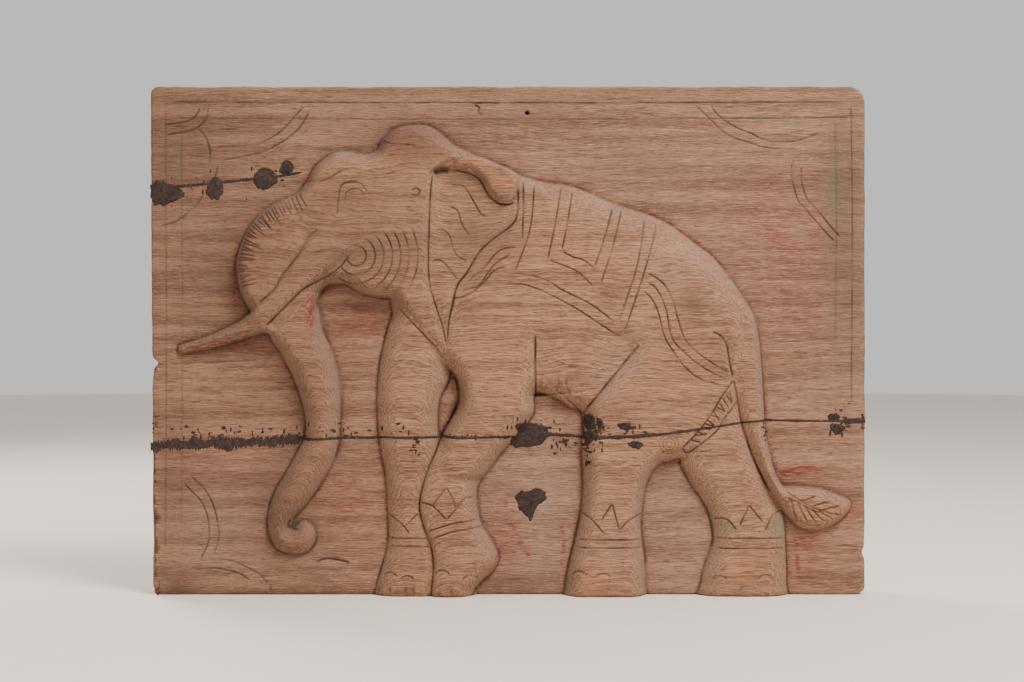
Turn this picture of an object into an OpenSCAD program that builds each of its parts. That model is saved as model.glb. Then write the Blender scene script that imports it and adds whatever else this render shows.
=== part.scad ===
// Wall panel of two planks joined edge to edge, with an elephant carved on it in low relief.
// The panel stands on its lower edge: X runs along its width, +Z is up and the carving faces -Y.
// The origin is at the middle of the panel's footprint.

/* [Panel] */
// Width of the panel
panel_w = 716; // [560:1:1000]
// Height of the panel
panel_h = 509; // [400:1:720]
// Thickness of the planks behind the carving
plank_t = 30; // [24:0.5:50]
// Radius of the lower corners and of the upper left one
corner_r = 10; // [2:1:30]
// Radius of the worn upper right corner
worn_corner_r = 17; // [2:1:40]
// Depth of the chip in the left edge
chip_depth = 4; // [1:0.5:12]

/* [Carving] */
// Height of the elephant's body above the ground
relief = 20; // [10:0.5:30]
// Height of the head above the body
head_rise = 2; // [0.5:0.5:5]
// Distance over which the carved edges are rounded
edge_round = 12; // [4:0.5:16]
// Width of the cut lines
line_w = 2; // [1:0.1:4]
// Depth of the lines cut into the elephant
line_depth = 1.5; // [0.5:0.1:3]
// Depth of the lines scribed into the ground
scribe_depth = 0.8; // [0.3:0.1:2]

/* [Joint] */
// Diameter of the dowels across the joint
dowel_d = 12; // [6:0.5:16]
// Length of a dowel
dowel_len = 80; // [40:1:110]
// Number of dowels
dowel_count = 4; // [2:1:6]
// Glue clearance around a dowel
dowel_clear = 0.1; // [0.05:0.05:0.5]
// Room left past each end of a dowel
dowel_end_room = 2; // [0.5:0.5:6]

/* [Filler] */
// Width of the filled joint line
seam_w = 2.6; // [1.5:0.1:5]
// Width of the thick left end of the filled joint
smear_w = 10; // [6:0.5:16]
// Depth of the filler below the ground
filler_depth = 5; // [2:0.5:8]
// Width of the filled drying crack
crack_w = 3; // [1.5:0.1:6]

/* [Hanging hole] */
// Diameter of the hole for a wall nail
nail_hole_d = 4.4; // [3:0.1:8]
// Distance of the hole below the top edge
nail_hole_drop = 27; // [15:1:60]
// Distance of the hole to the right of the middle
nail_hole_x = 19; // [-60:1:60]

/* [Hidden] */

// The carving is laid out on a panel of this size and follows the real one.
layout_w = 716;
layout_h = 509;
// Steps from one point of a curve to the next
curve_steps = 3;
// Overshoot of a cut past the face it opens
over = 1;
// Wood left between a cut line and a step above it
cut_clear = 0.4;

total_t = plank_t + relief + head_rise;
wood = "burlywood";
pitch = "dimgray";

// Heights of the carving's steps, as shares of the relief
step_share = [0.42, 0.68, 0.88, 1, 1 + head_rise / relief];
// The steps that carry the faces of the far legs and of the head
low_step = 1;
head_step = 4;
// How far the outline of each half runs past the panel's edges
beyond = 20;

// ---- Curves ----

function place(p) = [p.x * panel_w / layout_w, p.y * panel_h / layout_h];

// A Catmull-Rom stretch from b to c
function blend(a, b, c, d, t) =
    0.5 * (2 * b + (c - a) * t + (2 * a - 5 * b + 4 * c - d) * t ^ 2
           + (3 * b - 3 * c + d - a) * t ^ 3);

// A closed curve through the points
function loop_through(p) =
    let (n = len(p)) [for (i = [0 : n - 1], k = [0 : curve_steps - 1])
        blend(place(p[(i + n - 1) % n]), place(p[i]), place(p[(i + 1) % n]),
              place(p[(i + 2) % n]), k / curve_steps)];

// An open curve through the points
function curve_through(p) =
    let (n = len(p)) concat(
        [for (i = [0 : n - 2], k = [0 : curve_steps - 1])
            blend(place(p[max(i - 1, 0)]), place(p[i]), place(p[i + 1]),
                  place(p[min(i + 2, n - 1)]), k / curve_steps)],
        [place(p[n - 1])]);

// The point at distance d to the left of a curve's i-th point
function beside(c, i, d) =
    let (along = c[min(i + 1, len(c) - 1)] - c[max(i - 1, 0)])
    c[i] + d * [-along.y, along.x] / norm(along);

// A strip of width w along the curve through the points
function strip(p, w) =
    let (c = curve_through(p), last = len(c) - 1)
    concat([for (i = [0 : last]) beside(c, i, w / 2)],
           [for (i = [last : -1 : 0]) beside(c, i, -w / 2)]);

function arc(centre, r, from, to, n = 8) =
    [for (i = [0 : n]) let (a = from + (to - from) * i / n) centre + r * [cos(a), sin(a)]];

// A lobe of the corner ornaments: an arc scribed with a pair of lines
function lobe(centre, r, from, to) = arc(centre, r, from, to, 4);

// ---- Layout of the panel ----

// The joint line, from left to right
joint_line = [[-380, 150], [-318, 150], [-258, 153], [-203, 156], [-128, 158], [-8, 159],
              [32, 161], [87, 158], [122, 160], [152, 162], [192, 167], [232, 173], [262, 175],
              [317, 174], [380, 175]];

// The left stretch of the joint line, where the pitch is smeared thick, and what it keeps of that
smear_line = [for (i = [0 : 3]) joint_line[i]];
smear_reach = [[-380, 100], [-214, 100], [-206, 200], [-380, 200]];

// The drying crack at the upper left
crack_line = [[-357, 407], [-323, 409], [-293, 412], [-258, 416], [-223, 420], [-206, 423]];

// The dabs of pitch beside the joint
dabs = [
    [[7, 171], [20, 172], [36, 168], [39, 160], [30, 151], [12, 148], [4, 155], [10, 162]],
    [[72, 178], [80, 174], [84, 150], [80, 132], [76, 130], [73, 148]],
    [[107, 171], [115, 173], [122, 170], [116, 166]],
    [[119, 153], [128, 155], [134, 151], [126, 148]],
    [[334, 179], [340, 180], [342, 160], [337, 157], [333, 166]],
];

// The patch in the ground under the belly
knot = [[8, 100], [15, 103], [22, 104], [28, 107], [34, 105], [37, 100], [36, 94], [30, 90],
        [26, 82], [24, 76], [18, 79], [11, 88]];

// The blobs of pitch over the drying crack
blobs = [
    [[-356, 411], [-340, 411], [-327, 406], [-328, 397], [-342, 391], [-356, 393]],
    [[-301, 406], [-297, 416], [-288, 416], [-286, 402], [-293, 396], [-300, 399]],
    [[-255, 417], [-247, 427], [-236, 425], [-231, 415], [-240, 406], [-251, 408]],
    [[-229, 424], [-221, 435], [-214, 427], [-221, 420]],
];

// ---- Layout of the elephant: outlines ----

body = [[-38, 430], [-17, 431], [5, 423], [36, 413], [66, 408], [107, 391], [151, 376],
        [191, 349], [209, 334], [227, 311], [240, 290], [249, 267], [241, 235], [227, 191],
        [209, 171], [189, 153], [176, 139], [163, 134], [153, 132], [144, 122], [138, 107],
        [134, 81], [134, 61], [137, 35], [138, 10], [134, -14], [60, -14], [57, 10], [60, 30],
        [68, 63], [73, 91], [74, 122], [73, 150], [74, 180], [61, 188], [49, 196], [28, 201],
        [26, 181], [10, 160], [-5, 143], [-19, 124], [-29, 110], [-30, 93], [-26, 73],
        [-17, 57], [-9, 42], [-12, 27], [-29, 10], [-48, -14], [-78, -14], [-76, 8], [-74, 32],
        [-77, 52], [-84, 71], [-88, 90], [-82, 120], [-72, 144], [-66, 161], [-58, 175],
        [-50, 192], [-50, 209], [-55, 221], [-77, 250], [-94, 278], [-108, 305], [-108, 395],
        [-78, 425]];

head = [[-203, 411], [-198, 421], [-189, 433], [-174, 443], [-160, 444], [-143, 441],
        [-132, 445], [-126, 455], [-114, 466], [-99, 470], [-82, 470], [-68, 463], [-53, 450],
        [-36, 441], [-17, 431], [5, 423], [10, 409], [9, 380], [3, 368], [-17, 353],
        [-29, 341], [-41, 321], [-50, 309], [-55, 290], [-57, 270], [-61, 245], [-77, 261],
        [-94, 278], [-111, 295], [-118, 297], [-135, 298], [-150, 303], [-162, 310],
        [-174, 310], [-184, 307], [-190, 295], [-198, 270], [-218, 255], [-240, 261],
        [-254, 277], [-259, 285], [-267, 300], [-271, 317], [-272, 334], [-267, 351],
        [-259, 368], [-247, 382], [-230, 393], [-213, 401]];

trunk = [[-239, 260], [-227, 241], [-215, 217], [-207, 195], [-203, 175], [-204, 158],
         [-211, 144], [-223, 122], [-234, 103], [-240, 83], [-240, 64], [-232, 47],
         [-218, 41], [-203, 42], [-194, 49], [-191, 61], [-197, 72], [-206, 75], [-216, 67],
         [-213, 77], [-203, 88], [-189, 107], [-176, 129], [-169, 149], [-167, 168],
         [-166, 197], [-169, 221], [-176, 246], [-184, 265], [-190, 290], [-212, 305],
         [-238, 290]];

tusk = [[-330, 247], [-327, 251], [-305, 258], [-271, 273], [-254, 285], [-225, 292],
        [-228, 264], [-247, 260], [-276, 251], [-305, 244], [-327, 242]];

far_fore_leg = [[-114, 300], [-116, 280], [-121, 265], [-128, 236], [-131, 207], [-131, 178],
                [-128, 149], [-123, 120], [-121, 90], [-120, 57], [-126, 30], [-132, 8],
                [-132, -14], [-60, -14], [-52, 10], [-50, 100], [-60, 140], [-68, 160], [-70, 175],
                [-67, 197], [-58, 217], [-60, 235], [-70, 290]];

far_hind_leg = [[190, 195], [174, 160], [172, 132], [174, 127], [184, 109], [197, 89],
                [203, 71], [204, 53], [197, 33], [192, 12], [192, -14], [278, -14], [279, 10],
                [278, 48], [276, 76], [270, 92], [258, 115], [248, 143], [240, 173], [236, 210],
                [215, 215]];

tail = [[215, 300], [212, 268], [217, 250], [219, 232], [223, 217], [227, 199], [232, 173],
        [242, 143], [255, 115], [266, 96], [276, 94], [284, 100], [273, 112], [265, 130],
        [258, 163], [256, 189], [254, 227], [250, 265], [240, 290]];

tuft = [[273, 109], [296, 109], [316, 106], [339, 97], [343, 90], [339, 81], [327, 71],
        [309, 65], [291, 67], [279, 78], [271, 89], [266, 100]];

// Each outline with the distances, as shares of edge_round, by which its steps draw in
CARVING = [
    [body, [0, 0.12, 0.42, 1]],
    [head, [0, 0.1, 0.3, 0.6, 1.1]],
    [trunk, [0, 0.3, 0.75, 1.3]],
    [tusk, [0, 0.35]],
    [far_fore_leg, [0, 0.6]],
    [far_hind_leg, [0, 0.6]],
    [tail, [0, 0.2, 0.55]],
    [tuft, [0, 0.4]],
];

// ---- Layout of the elephant: cut lines ----

head_lines = [
    // Front of the ear, down into the hanging flap
    [[-73, 421], [-75, 399], [-77, 370], [-78, 331], [-77, 307], [-72, 290], [-65, 273],
     [-62, 255]],
    // Folds of the ear
    [[-58, 409], [-46, 408], [-40, 402], [-33, 390], [-27, 380], [-20, 377]],
    [[-56, 387], [-50, 383], [-46, 370], [-38, 358]],
    [[-72, 363], [-65, 364], [-58, 358], [-55, 347], [-50, 338], [-40, 333]],
    [[-75, 333], [-68, 334], [-62, 330], [-56, 322], [-50, 315]],
    [[-28, 417], [-20, 403], [-11, 394], [-1, 392], [7, 395]],
    // Brow, crown and forehead
    [[-169, 377], [-166, 405], [-156, 411], [-145, 409], [-138, 399]],
    [[-125, 454], [-116, 449], [-90, 447]],
    [[-200, 413], [-183, 412], [-163, 423]],
    // Root of the tusk and fold of the cheek
    [[-185, 366], [-198, 355], [-208, 338], [-223, 319], [-232, 304], [-247, 290]],
    [[-154, 343], [-174, 326], [-191, 312], [-201, 304], [-213, 295], [-232, 273]],
];

// Wrinkles of the cheek: arcs of one length round one centre
cheek = [-153, 338];
cheek_radii = [14, 22, 30, 39, 48, 56, 64];
wrinkle_len = 32;
function half_turn(r) = wrinkle_len / 2 / r * 180 / PI;
cheek_wrinkles = [for (r = cheek_radii) lobe(cheek, r, -half_turn(r), half_turn(r))];

body_lines = [
    // Straps from the neck to the saddle cloth
    [[-46, 304], [-29, 309], [-14, 329], [3, 340]],
    [[-41, 312], [-24, 326], [-9, 343], [10, 347]],
    // Upright bands of the saddle cloth
    [[15, 413], [15, 385], [14, 352]],
    [[26, 410], [23, 372], [17, 349], [6, 321]],
    [[53, 408], [46, 367], [39, 334]],
    [[64, 404], [58, 367], [53, 343]],
    [[104, 387], [94, 352], [85, 326]],
    [[113, 386], [103, 346], [91, 309]],
    [[136, 378], [128, 331], [117, 295], [108, 270]],
    [[148, 374], [140, 341], [130, 308], [114, 260]],
    // Hems of the saddle cloth
    [[39, 334], [54, 329], [69, 322], [84, 308]],
    [[53, 343], [64, 337], [74, 334], [85, 326]],
    [[-9, 311], [18, 309], [41, 300], [69, 285], [92, 270], [111, 258]],
    [[8, 321], [33, 316], [56, 303], [82, 290], [106, 272]],
    // Crupper strap
    [[135, 322], [151, 313], [161, 298], [168, 275], [174, 257], [184, 245], [202, 232],
     [223, 220]],
    [[134, 313], [146, 306], [156, 285], [162, 257], [176, 241], [194, 227], [217, 215]],
    [[130, 304], [140, 298], [148, 283], [154, 260], [161, 247], [174, 229], [191, 216],
     [217, 209]],
    [[223, 214], [196, 173], [168, 145]],
    // Folds of the elbow and the flank
    [[27, 265], [27, 232], [26, 201]],
    [[128, 247], [115, 232], [100, 214], [84, 194], [75, 183]],
    // Anklets and petals of the near legs
    [[-80, 65], [-55, 73], [-29, 77]],
    [[-77, 57], [-55, 65], [-25, 70]],
    [[69, 57], [100, 57], [134, 57]],
    [[69, 49], [100, 49], [134, 49]],
    [[-87, 94], [-75, 91], [-61, 77]],
    [[-75, 91], [-61, 109]],
    [[-61, 77], [-53, 86], [-43, 98], [-33, 99]],
    [[73, 84], [84, 76], [96, 62]],
    [[92, 76], [103, 93]],
    [[103, 93], [110, 66]],
    [[110, 66], [119, 76], [134, 83]],
];

low_lines = [
    // Anklets and petals of the far legs
    [[-118, 58], [-100, 58], [-79, 58]],
    [[-118, 50], [-100, 50], [-77, 50]],
    [[-118, 81], [-106, 73], [-98, 63]],
    [[-99, 73], [-89, 83]],
    [[206, 58], [240, 58], [276, 58]],
    [[206, 48], [240, 48], [276, 48]],
    [[204, 77], [217, 77], [227, 66]],
    [[230, 71], [239, 91]],
    [[239, 91], [253, 74]],
    [[255, 66], [263, 81], [274, 85]],
    // Midrib and veins of the tail's tuft
    [[276, 99], [291, 92], [304, 86], [320, 84]],
    [[284, 95], [290, 77]],
    [[292, 91], [303, 72]],
    [[301, 87], [318, 75]],
    [[292, 93], [308, 101]],
    [[302, 88], [322, 96]],
];

// Lines scribed into the ground: a double frame, and lobes in the corners
frame_top = [493, 477];
frame_side = [343, 327];
ground_lines = concat(
    [for (z = frame_top) [[-330, z], [0, z], [330, z]]],
    [for (x = frame_side) [[-x, 40], [-x, 250], [-x, 490]]],
    [for (x = frame_side) [[x, 40], [x, 250], [x, 490]]],
    [
        lobe([-343, 493], 38, -85, -5), lobe([-343, 493], 30, -85, -5),
        lobe([-348, 430], 60, -85, -5), lobe([-348, 430], 50, -85, 40),
        lobe([-293, 521], 88, -89, -12), lobe([-293, 521], 78, -89, -12),
        lobe([285, 553], 108, -145, -92), lobe([285, 553], 98, -145, -92),
        lobe([343, 430], 62, 185, 255), lobe([343, 430], 52, 185, 255),
        lobe([-343, 67], 54, -20, 62), lobe([-343, 67], 46, -20, 62),
        lobe([-290, -15], 52, 15, 100), lobe([-290, -15], 42, 15, 100),
    ]);

// ---- Flat shapes, drawn as seen from the front ----

module panel_face() {
    half = panel_w / 2;
    chip_z = place([0, 232]).y;
    difference() {
        polygon(concat(
            arc([corner_r - half, corner_r], corner_r, 180, 270),
            arc([half - corner_r, corner_r], corner_r, 270, 360),
            arc([half - worn_corner_r, panel_h - worn_corner_r], worn_corner_r, 0, 90),
            arc([corner_r - half, panel_h - corner_r], corner_r, 90, 180)));
        polygon([[-half - over, chip_z + 2 * chip_depth], [-half + chip_depth, chip_z],
                 [-half - over, chip_z - 2 * chip_depth]]);
    }
}

// Everything above or below the joint line
module side_of_joint(upper) {
    line = curve_through(joint_line);
    far_z = upper ? panel_h + beyond : -beyond;
    polygon(concat(line, [[line[len(line) - 1].x, far_z], [line[0].x, far_z]]));
}

// The carving's i-th step
module step_shape(i) {
    for (part = CARVING)
        if (i < len(part[1]))
            offset(delta = -part[1][i] * edge_round) polygon(loop_through(part[0]));
}

module lines(list, w = line_w) for (p = list) polygon(strip(p, w));

module loops(list) for (p = list) polygon(loop_through(p));

module seam_shape() {
    polygon(strip(joint_line, seam_w));
    intersection() {
        polygon(strip(smear_line, smear_w));
        polygon([for (p = smear_reach) place(p)]);
    }
}

module crack_shape() {
    polygon(strip(crack_line, crack_w));
    loops(blobs);
}

module filled_shape() {
    seam_shape();
    crack_shape();
    loops(dabs);
    loops([knot]);
}

// ---- Solids ----

// A flat shape made solid between two heights above the panel's back face
module slab(low, high)
    translate([0, total_t / 2, 0])
        rotate([90, 0, 0])
            translate([0, 0, low])
                linear_extrude(high - low) offset(delta = 0) children();

// The whole carved panel, before it is parted at the joint and its channels are cut
module panel() intersection() {
    union() {
        slab(0, plank_t) translate([0, panel_h / 2])
            square([panel_w + 2 * beyond, panel_h + 2 * beyond], center = true);
        for (i = [0 : head_step]) slab(plank_t / 2, plank_t + relief * step_share[i]) step_shape(i);
    }
    slab(-over, total_t + over) panel_face();
}

// A channel for filler, open to the front
module channel() slab(plank_t - filler_depth, total_t + over) children();

module dowels(d, length)
    for (i = [0 : dowel_count - 1]) {
        x = (i - (dowel_count - 1) / 2) * panel_w / dowel_count;
        z = lookup(x, [for (p = joint_line) place(p)]);
        translate([x, (total_t - plank_t) / 2, z]) cylinder(h = length, d = d, center = true);
    }

module nail_hole()
    translate([nail_hole_x, total_t / 2 + over, panel_h - nail_hole_drop])
        rotate([90, 0, 0]) cylinder(h = total_t + 2 * over, d = nail_hole_d);

// Lines cut into a face at a height, clear of whatever rises above that face
module cut(face, depth, list, above)
    slab(face - depth, face + over / 2) difference() {
        lines(list);
        offset(delta = cut_clear) step_shape(above);
    }

module board(upper) {
    low_face = plank_t + relief * step_share[low_step];
    difference() {
        panel();
        slab(-over, total_t + over) side_of_joint(!upper);
        channel() filled_shape();
        cut(plank_t, scribe_depth, ground_lines, 0);
        cut(plank_t + relief, line_depth, body_lines, head_step);
        if (upper) slab(total_t - line_depth, total_t + over)
            lines(concat(head_lines, cheek_wrinkles));
        else cut(low_face, line_depth, low_lines, low_step + 1);
        dowels(dowel_d + 2 * dowel_clear, dowel_len + 2 * dowel_end_room);
        if (upper) nail_hole();
    }
}

module filler() intersection() {
    panel();
    channel() children();
}

// ---- Pieces ----

module upper_board() color(wood) board(true);

module lower_board() color(wood) board(false);

module joint_dowels() color("peru") dowels(dowel_d, dowel_len);

module seam_filler() color(pitch) filler() seam_shape();

module seam_dabs() color(pitch) difference() {
    filler() loops(dabs);
    channel() seam_shape();
}

module crack_filler() color(pitch) filler() crack_shape();

module knot_filler() color(pitch) filler() loops([knot]);

upper_board();
lower_board();
joint_dowels();
seam_filler();
seam_dabs();
crack_filler();
knot_filler();
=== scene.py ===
import collections
import functools

import bpy
import numpy as np
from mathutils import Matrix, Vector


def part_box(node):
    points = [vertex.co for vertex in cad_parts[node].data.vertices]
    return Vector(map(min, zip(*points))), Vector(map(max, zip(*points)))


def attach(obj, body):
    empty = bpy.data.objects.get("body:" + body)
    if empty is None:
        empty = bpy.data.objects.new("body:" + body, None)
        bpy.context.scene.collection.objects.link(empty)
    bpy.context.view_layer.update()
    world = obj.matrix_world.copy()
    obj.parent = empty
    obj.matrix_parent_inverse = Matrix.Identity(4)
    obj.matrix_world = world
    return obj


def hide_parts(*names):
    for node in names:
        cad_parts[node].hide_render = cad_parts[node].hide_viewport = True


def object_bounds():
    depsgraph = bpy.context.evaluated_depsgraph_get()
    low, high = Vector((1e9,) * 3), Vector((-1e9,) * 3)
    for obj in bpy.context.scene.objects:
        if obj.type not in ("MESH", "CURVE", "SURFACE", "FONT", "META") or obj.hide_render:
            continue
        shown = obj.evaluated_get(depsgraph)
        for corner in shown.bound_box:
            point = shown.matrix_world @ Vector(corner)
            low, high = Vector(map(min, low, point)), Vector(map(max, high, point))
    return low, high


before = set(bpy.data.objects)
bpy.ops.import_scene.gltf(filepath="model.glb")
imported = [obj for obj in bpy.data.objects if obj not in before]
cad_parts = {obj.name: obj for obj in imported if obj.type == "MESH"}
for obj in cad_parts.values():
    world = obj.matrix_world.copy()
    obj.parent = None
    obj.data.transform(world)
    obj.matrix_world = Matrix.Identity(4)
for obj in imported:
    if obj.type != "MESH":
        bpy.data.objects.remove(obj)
CAD_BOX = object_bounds()

# The looks of an old wall panel: an elephant carved in low relief on two planks, with pitch in
# their joint. Shapes are laid out in millimetres, as (x, z) seen from the front, and a height
# is measured forward from the ground that the figure stands out from.
bl_info = {
    "name": "Carved elephant panel",
    "version": (1, 0, 0),
    "blender": (4, 5, 0),
    "location": "3D View > Sidebar > Panel",
    "description": "Carves the boards of a relief panel and lays the pitch in their joint",
    "category": "Add Mesh",
}

MM = 0.001
BOX_LO, BOX_HI = (np.array(corner) / MM for corner in CAD_BOX)
WIDTH = BOX_HI[0] - BOX_LO[0]
HEIGHT = BOX_HI[2]
BACK = BOX_HI[1]
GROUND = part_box("crack_filler")[0][1] / MM
MAX_HEIGHT = GROUND - BOX_LO[1]
HALF = WIDTH / 2
TURN = 2 * np.pi

# The map of the carving: the step of its grid, and how far it reaches past the panel
PITCH_OF_MAP = 0.45
MAP_MARGIN = 24
# A board's mesh: the step of its face, how many of those make one step of its back, and the
# number of triangles that it is thinned to
GRID = 0.68
COARSE = 4
TRIANGLES = 194000

# Heights of the relief's parts in front of the ground
FAR_LEG_LEVEL = 12.5
BODY_LEVEL, BODY_TOP = 17, 19.8
TUFT_LEVEL = 10.5
TAIL_LEVEL = 15.5
TRUNK_TIP_LEVEL, TRUNK_RISE = 11.5, 7
TUSK_TIP_LEVEL, TUSK_RISE = 6.5, 11.5
HEAD_LEVEL = 18.6
# How far the animal's back falls away towards its edge, and over what distance
BACK_FALL, BACK_REACH = 5.5, 32
# How far in the ear's hollow reaches its depth
EAR_REACH = 14
# The power of the softest carved edges, and a faint line's share of the full depth
SOFT, FAINT = 0.8, 0.8
RED_LINE_REACH = 3.0
# How many drying checks the face has, and how steep a slope counts as fully steep
CHECKS = 150
STEEP = 1.3
# How far behind the face its marks begin to fade, and over what distance
MARK_DEPTH, MARK_FADE = 2.5, 4

# The boards' edges: the corners' radii by (upper, right), half the joint's gap, the round and
# inset of the back, and the dents of the sides
CORNERS = {(False, False): 11, (False, True): 9, (True, False): 8, (True, True): 17}
COS45 = np.sqrt(0.5)
JOINT_GAP = 0.25
BACK_ROUND, BACK_INSET = 2.5, 0.1
DENT = 0.25
# The strokes of the adze on the back
STROKE_LENGTH, STROKE_ROW, STROKE_DEPTH = 43, 34, 2.6

DOWEL_LOW, DOWEL_HIGH = (np.array(corner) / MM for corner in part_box("joint_dowels"))
DOWEL_Y = (DOWEL_LOW[1] + DOWEL_HIGH[1]) / 2
DOWEL_RADIUS = (DOWEL_HIGH[1] - DOWEL_LOW[1]) / 2
DOWEL_LENGTH = 80
DOWEL_COUNT = 4
DOWEL_SIDES = 28
BORE_PLAY = 0.1

# The pitch: how deep its lumps' pockets are, how far the beads and lumps sink into the wood,
# and how far they keep from the panel's ends
POCKET_DEPTH = 1.6
BEAD_SINK, LUMP_SINK = 1.4, 1.9
PITCH_INSET = 0.3
# Where the seam's smear ends and how softly, and where the seam is thick: (x, width) each
SMEAR_END, SMEAR_FADE = -214, 14
THICK_SPOTS = ((112, 46), (344, 12))

# The stage, in metres and watts
FLOOR_SIDES = 96
LAMP_SIZE = 0.8
LAMP_AIM = np.array((0, 0, 0.25))
LAMPS = (("key_light", (0.95, -1.05, 1.95), 72), ("back_light", (-1.3, 1.2, 1.5), 34))
SKY_STRENGTH = 0.72
SENSOR_WIDTH = 36
FIELD_WIDTH = 1.024
CAMERA_X = 0.004

# The marks that the finish reads. The mark for the cuts' soiling and the stain mark also hold
# painted shade, and the slope mark holds a painted highlight on the back.
MARKS = ("grime_and_shade", "red", "green", "stain_and_shade", "bare", "pale", "slope_and_ridge_light", "figure")


# ---- Layout ----

JOINT = [(-380, 150), (-318, 150), (-258, 153), (-203, 156), (-128, 158), (-8, 159), (32, 161),
         (87, 158), (122, 160), (152, 162), (192, 167), (232, 173), (262, 175), (317, 174),
         (380, 175)]
CRACK = [(-357, 407), (-323, 409), (-293, 412), (-258, 416), (-223, 420), (-206, 423)]
SPLIT = [(-351, 231), (-328, 232), (-298, 233), (-267, 234), (-230, 237)]

BODY = [(-38, 430), (-17, 431), (5, 423), (36, 413), (66, 408), (107, 391), (151, 376),
        (191, 349), (209, 334), (227, 311), (240, 290), (249, 267), (241, 235), (227, 191),
        (209, 171), (189, 153), (176, 139), (163, 134), (153, 132), (144, 122), (138, 107),
        (134, 81), (134, 61), (137, 35), (138, 10), (134, -14), (60, -14), (57, 10), (60, 30),
        (68, 63), (73, 91), (74, 122), (73, 150), (74, 180), (61, 188), (49, 196), (28, 201),
        (26, 181), (10, 160), (-5, 143), (-19, 124), (-29, 110), (-30, 93), (-26, 73),
        (-17, 57), (-9, 42), (-12, 27), (-29, 10), (-48, -14), (-78, -14), (-76, 8), (-74, 32),
        (-77, 52), (-84, 71), (-88, 90), (-82, 120), (-72, 144), (-66, 161), (-58, 175),
        (-50, 192), (-50, 209), (-55, 221), (-77, 250), (-94, 278), (-108, 305), (-108, 395),
        (-78, 425)]
HEAD = [(-203, 411), (-198, 421), (-189, 433), (-174, 443), (-160, 444), (-143, 441),
        (-132, 445), (-126, 455), (-114, 466), (-99, 470), (-82, 470), (-68, 463), (-53, 450),
        (-36, 441), (-17, 431), (5, 423), (10, 409), (9, 380), (3, 368), (-17, 353),
        (-29, 341), (-41, 321), (-50, 309), (-55, 290), (-57, 270), (-61, 245), (-77, 261),
        (-94, 278), (-111, 295), (-118, 297), (-135, 298), (-150, 303), (-162, 310),
        (-174, 310), (-184, 307), (-190, 295), (-198, 270), (-218, 255), (-240, 261),
        (-254, 277), (-259, 285), (-267, 300), (-271, 317), (-272, 334), (-267, 351),
        (-259, 368), (-247, 382), (-230, 393), (-213, 401)]
TRUNK = [(-239, 260), (-227, 241), (-215, 217), (-207, 195), (-203, 175), (-204, 158),
         (-211, 144), (-223, 122), (-234, 103), (-240, 83), (-240, 64), (-232, 47),
         (-218, 41), (-203, 42), (-194, 49), (-191, 61), (-197, 72), (-206, 75), (-216, 67),
         (-213, 77), (-203, 88), (-189, 107), (-176, 129), (-169, 149), (-167, 168),
         (-166, 197), (-169, 221), (-176, 246), (-184, 265), (-190, 290), (-212, 305),
         (-238, 290)]
TUSK = [(-330, 247), (-327, 251), (-305, 258), (-271, 273), (-254, 285), (-225, 292),
        (-228, 264), (-247, 260), (-276, 251), (-305, 244), (-327, 242)]
FAR_FORE_LEG = [(-114, 300), (-116, 280), (-121, 265), (-128, 236), (-131, 207), (-131, 178),
                (-128, 149), (-123, 120), (-121, 90), (-120, 57), (-126, 30), (-132, 8),
                (-132, -14), (-60, -14), (-52, 10), (-50, 100), (-60, 140), (-68, 160),
                (-70, 175), (-67, 197), (-58, 217), (-60, 235), (-70, 290)]
FAR_HIND_LEG = [(190, 195), (174, 160), (172, 132), (174, 127), (184, 109), (197, 89),
                (203, 71), (204, 53), (197, 33), (192, 12), (192, -14), (278, -14), (279, 10),
                (278, 48), (276, 76), (270, 92), (258, 115), (248, 143), (240, 173),
                (236, 210), (215, 215)]
TAIL = [(215, 300), (212, 268), (217, 250), (219, 232), (223, 217), (227, 199), (232, 173),
        (242, 143), (255, 115), (266, 96), (276, 94), (284, 100), (273, 112), (265, 130),
        (258, 163), (256, 189), (254, 227), (250, 265), (240, 290)]
TUFT = [(273, 109), (296, 109), (316, 106), (339, 97), (343, 90), (339, 81), (327, 71),
        (309, 65), (291, 67), (279, 78), (271, 89), (266, 100)]
LOBE = [(-53, 427), (-38, 425), (-27, 416), (-19, 402), (-9, 393), (-1, 391), (6, 394),
        (11, 404), (12, 417), (4, 425), (-8, 430), (-28, 438), (-46, 438)]
EAR = [(-73, 424), (-60, 432), (-40, 436), (-18, 430), (2, 422), (9, 410), (9, 384),
       (2, 370), (-17, 355), (-30, 342), (-43, 321), (-52, 308), (-58, 288), (-62, 262),
       (-72, 290),
       (-76, 310), (-76, 370), (-74, 400)]
SHEATH = [(-158, 346), (-176, 355), (-190, 356), (-203, 345), (-213, 331), (-226, 313),
          (-240, 297), (-256, 284), (-262, 276), (-250, 268), (-236, 272), (-216, 291),
          (-201, 305), (-184, 319), (-168, 334)]

# The back's worn edge, from the saddle to the tail
BACK_LINE = [(60, 410), (107, 393), (151, 378), (191, 351), (209, 336), (227, 313), (240, 292),
             (250, 267)]

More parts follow.
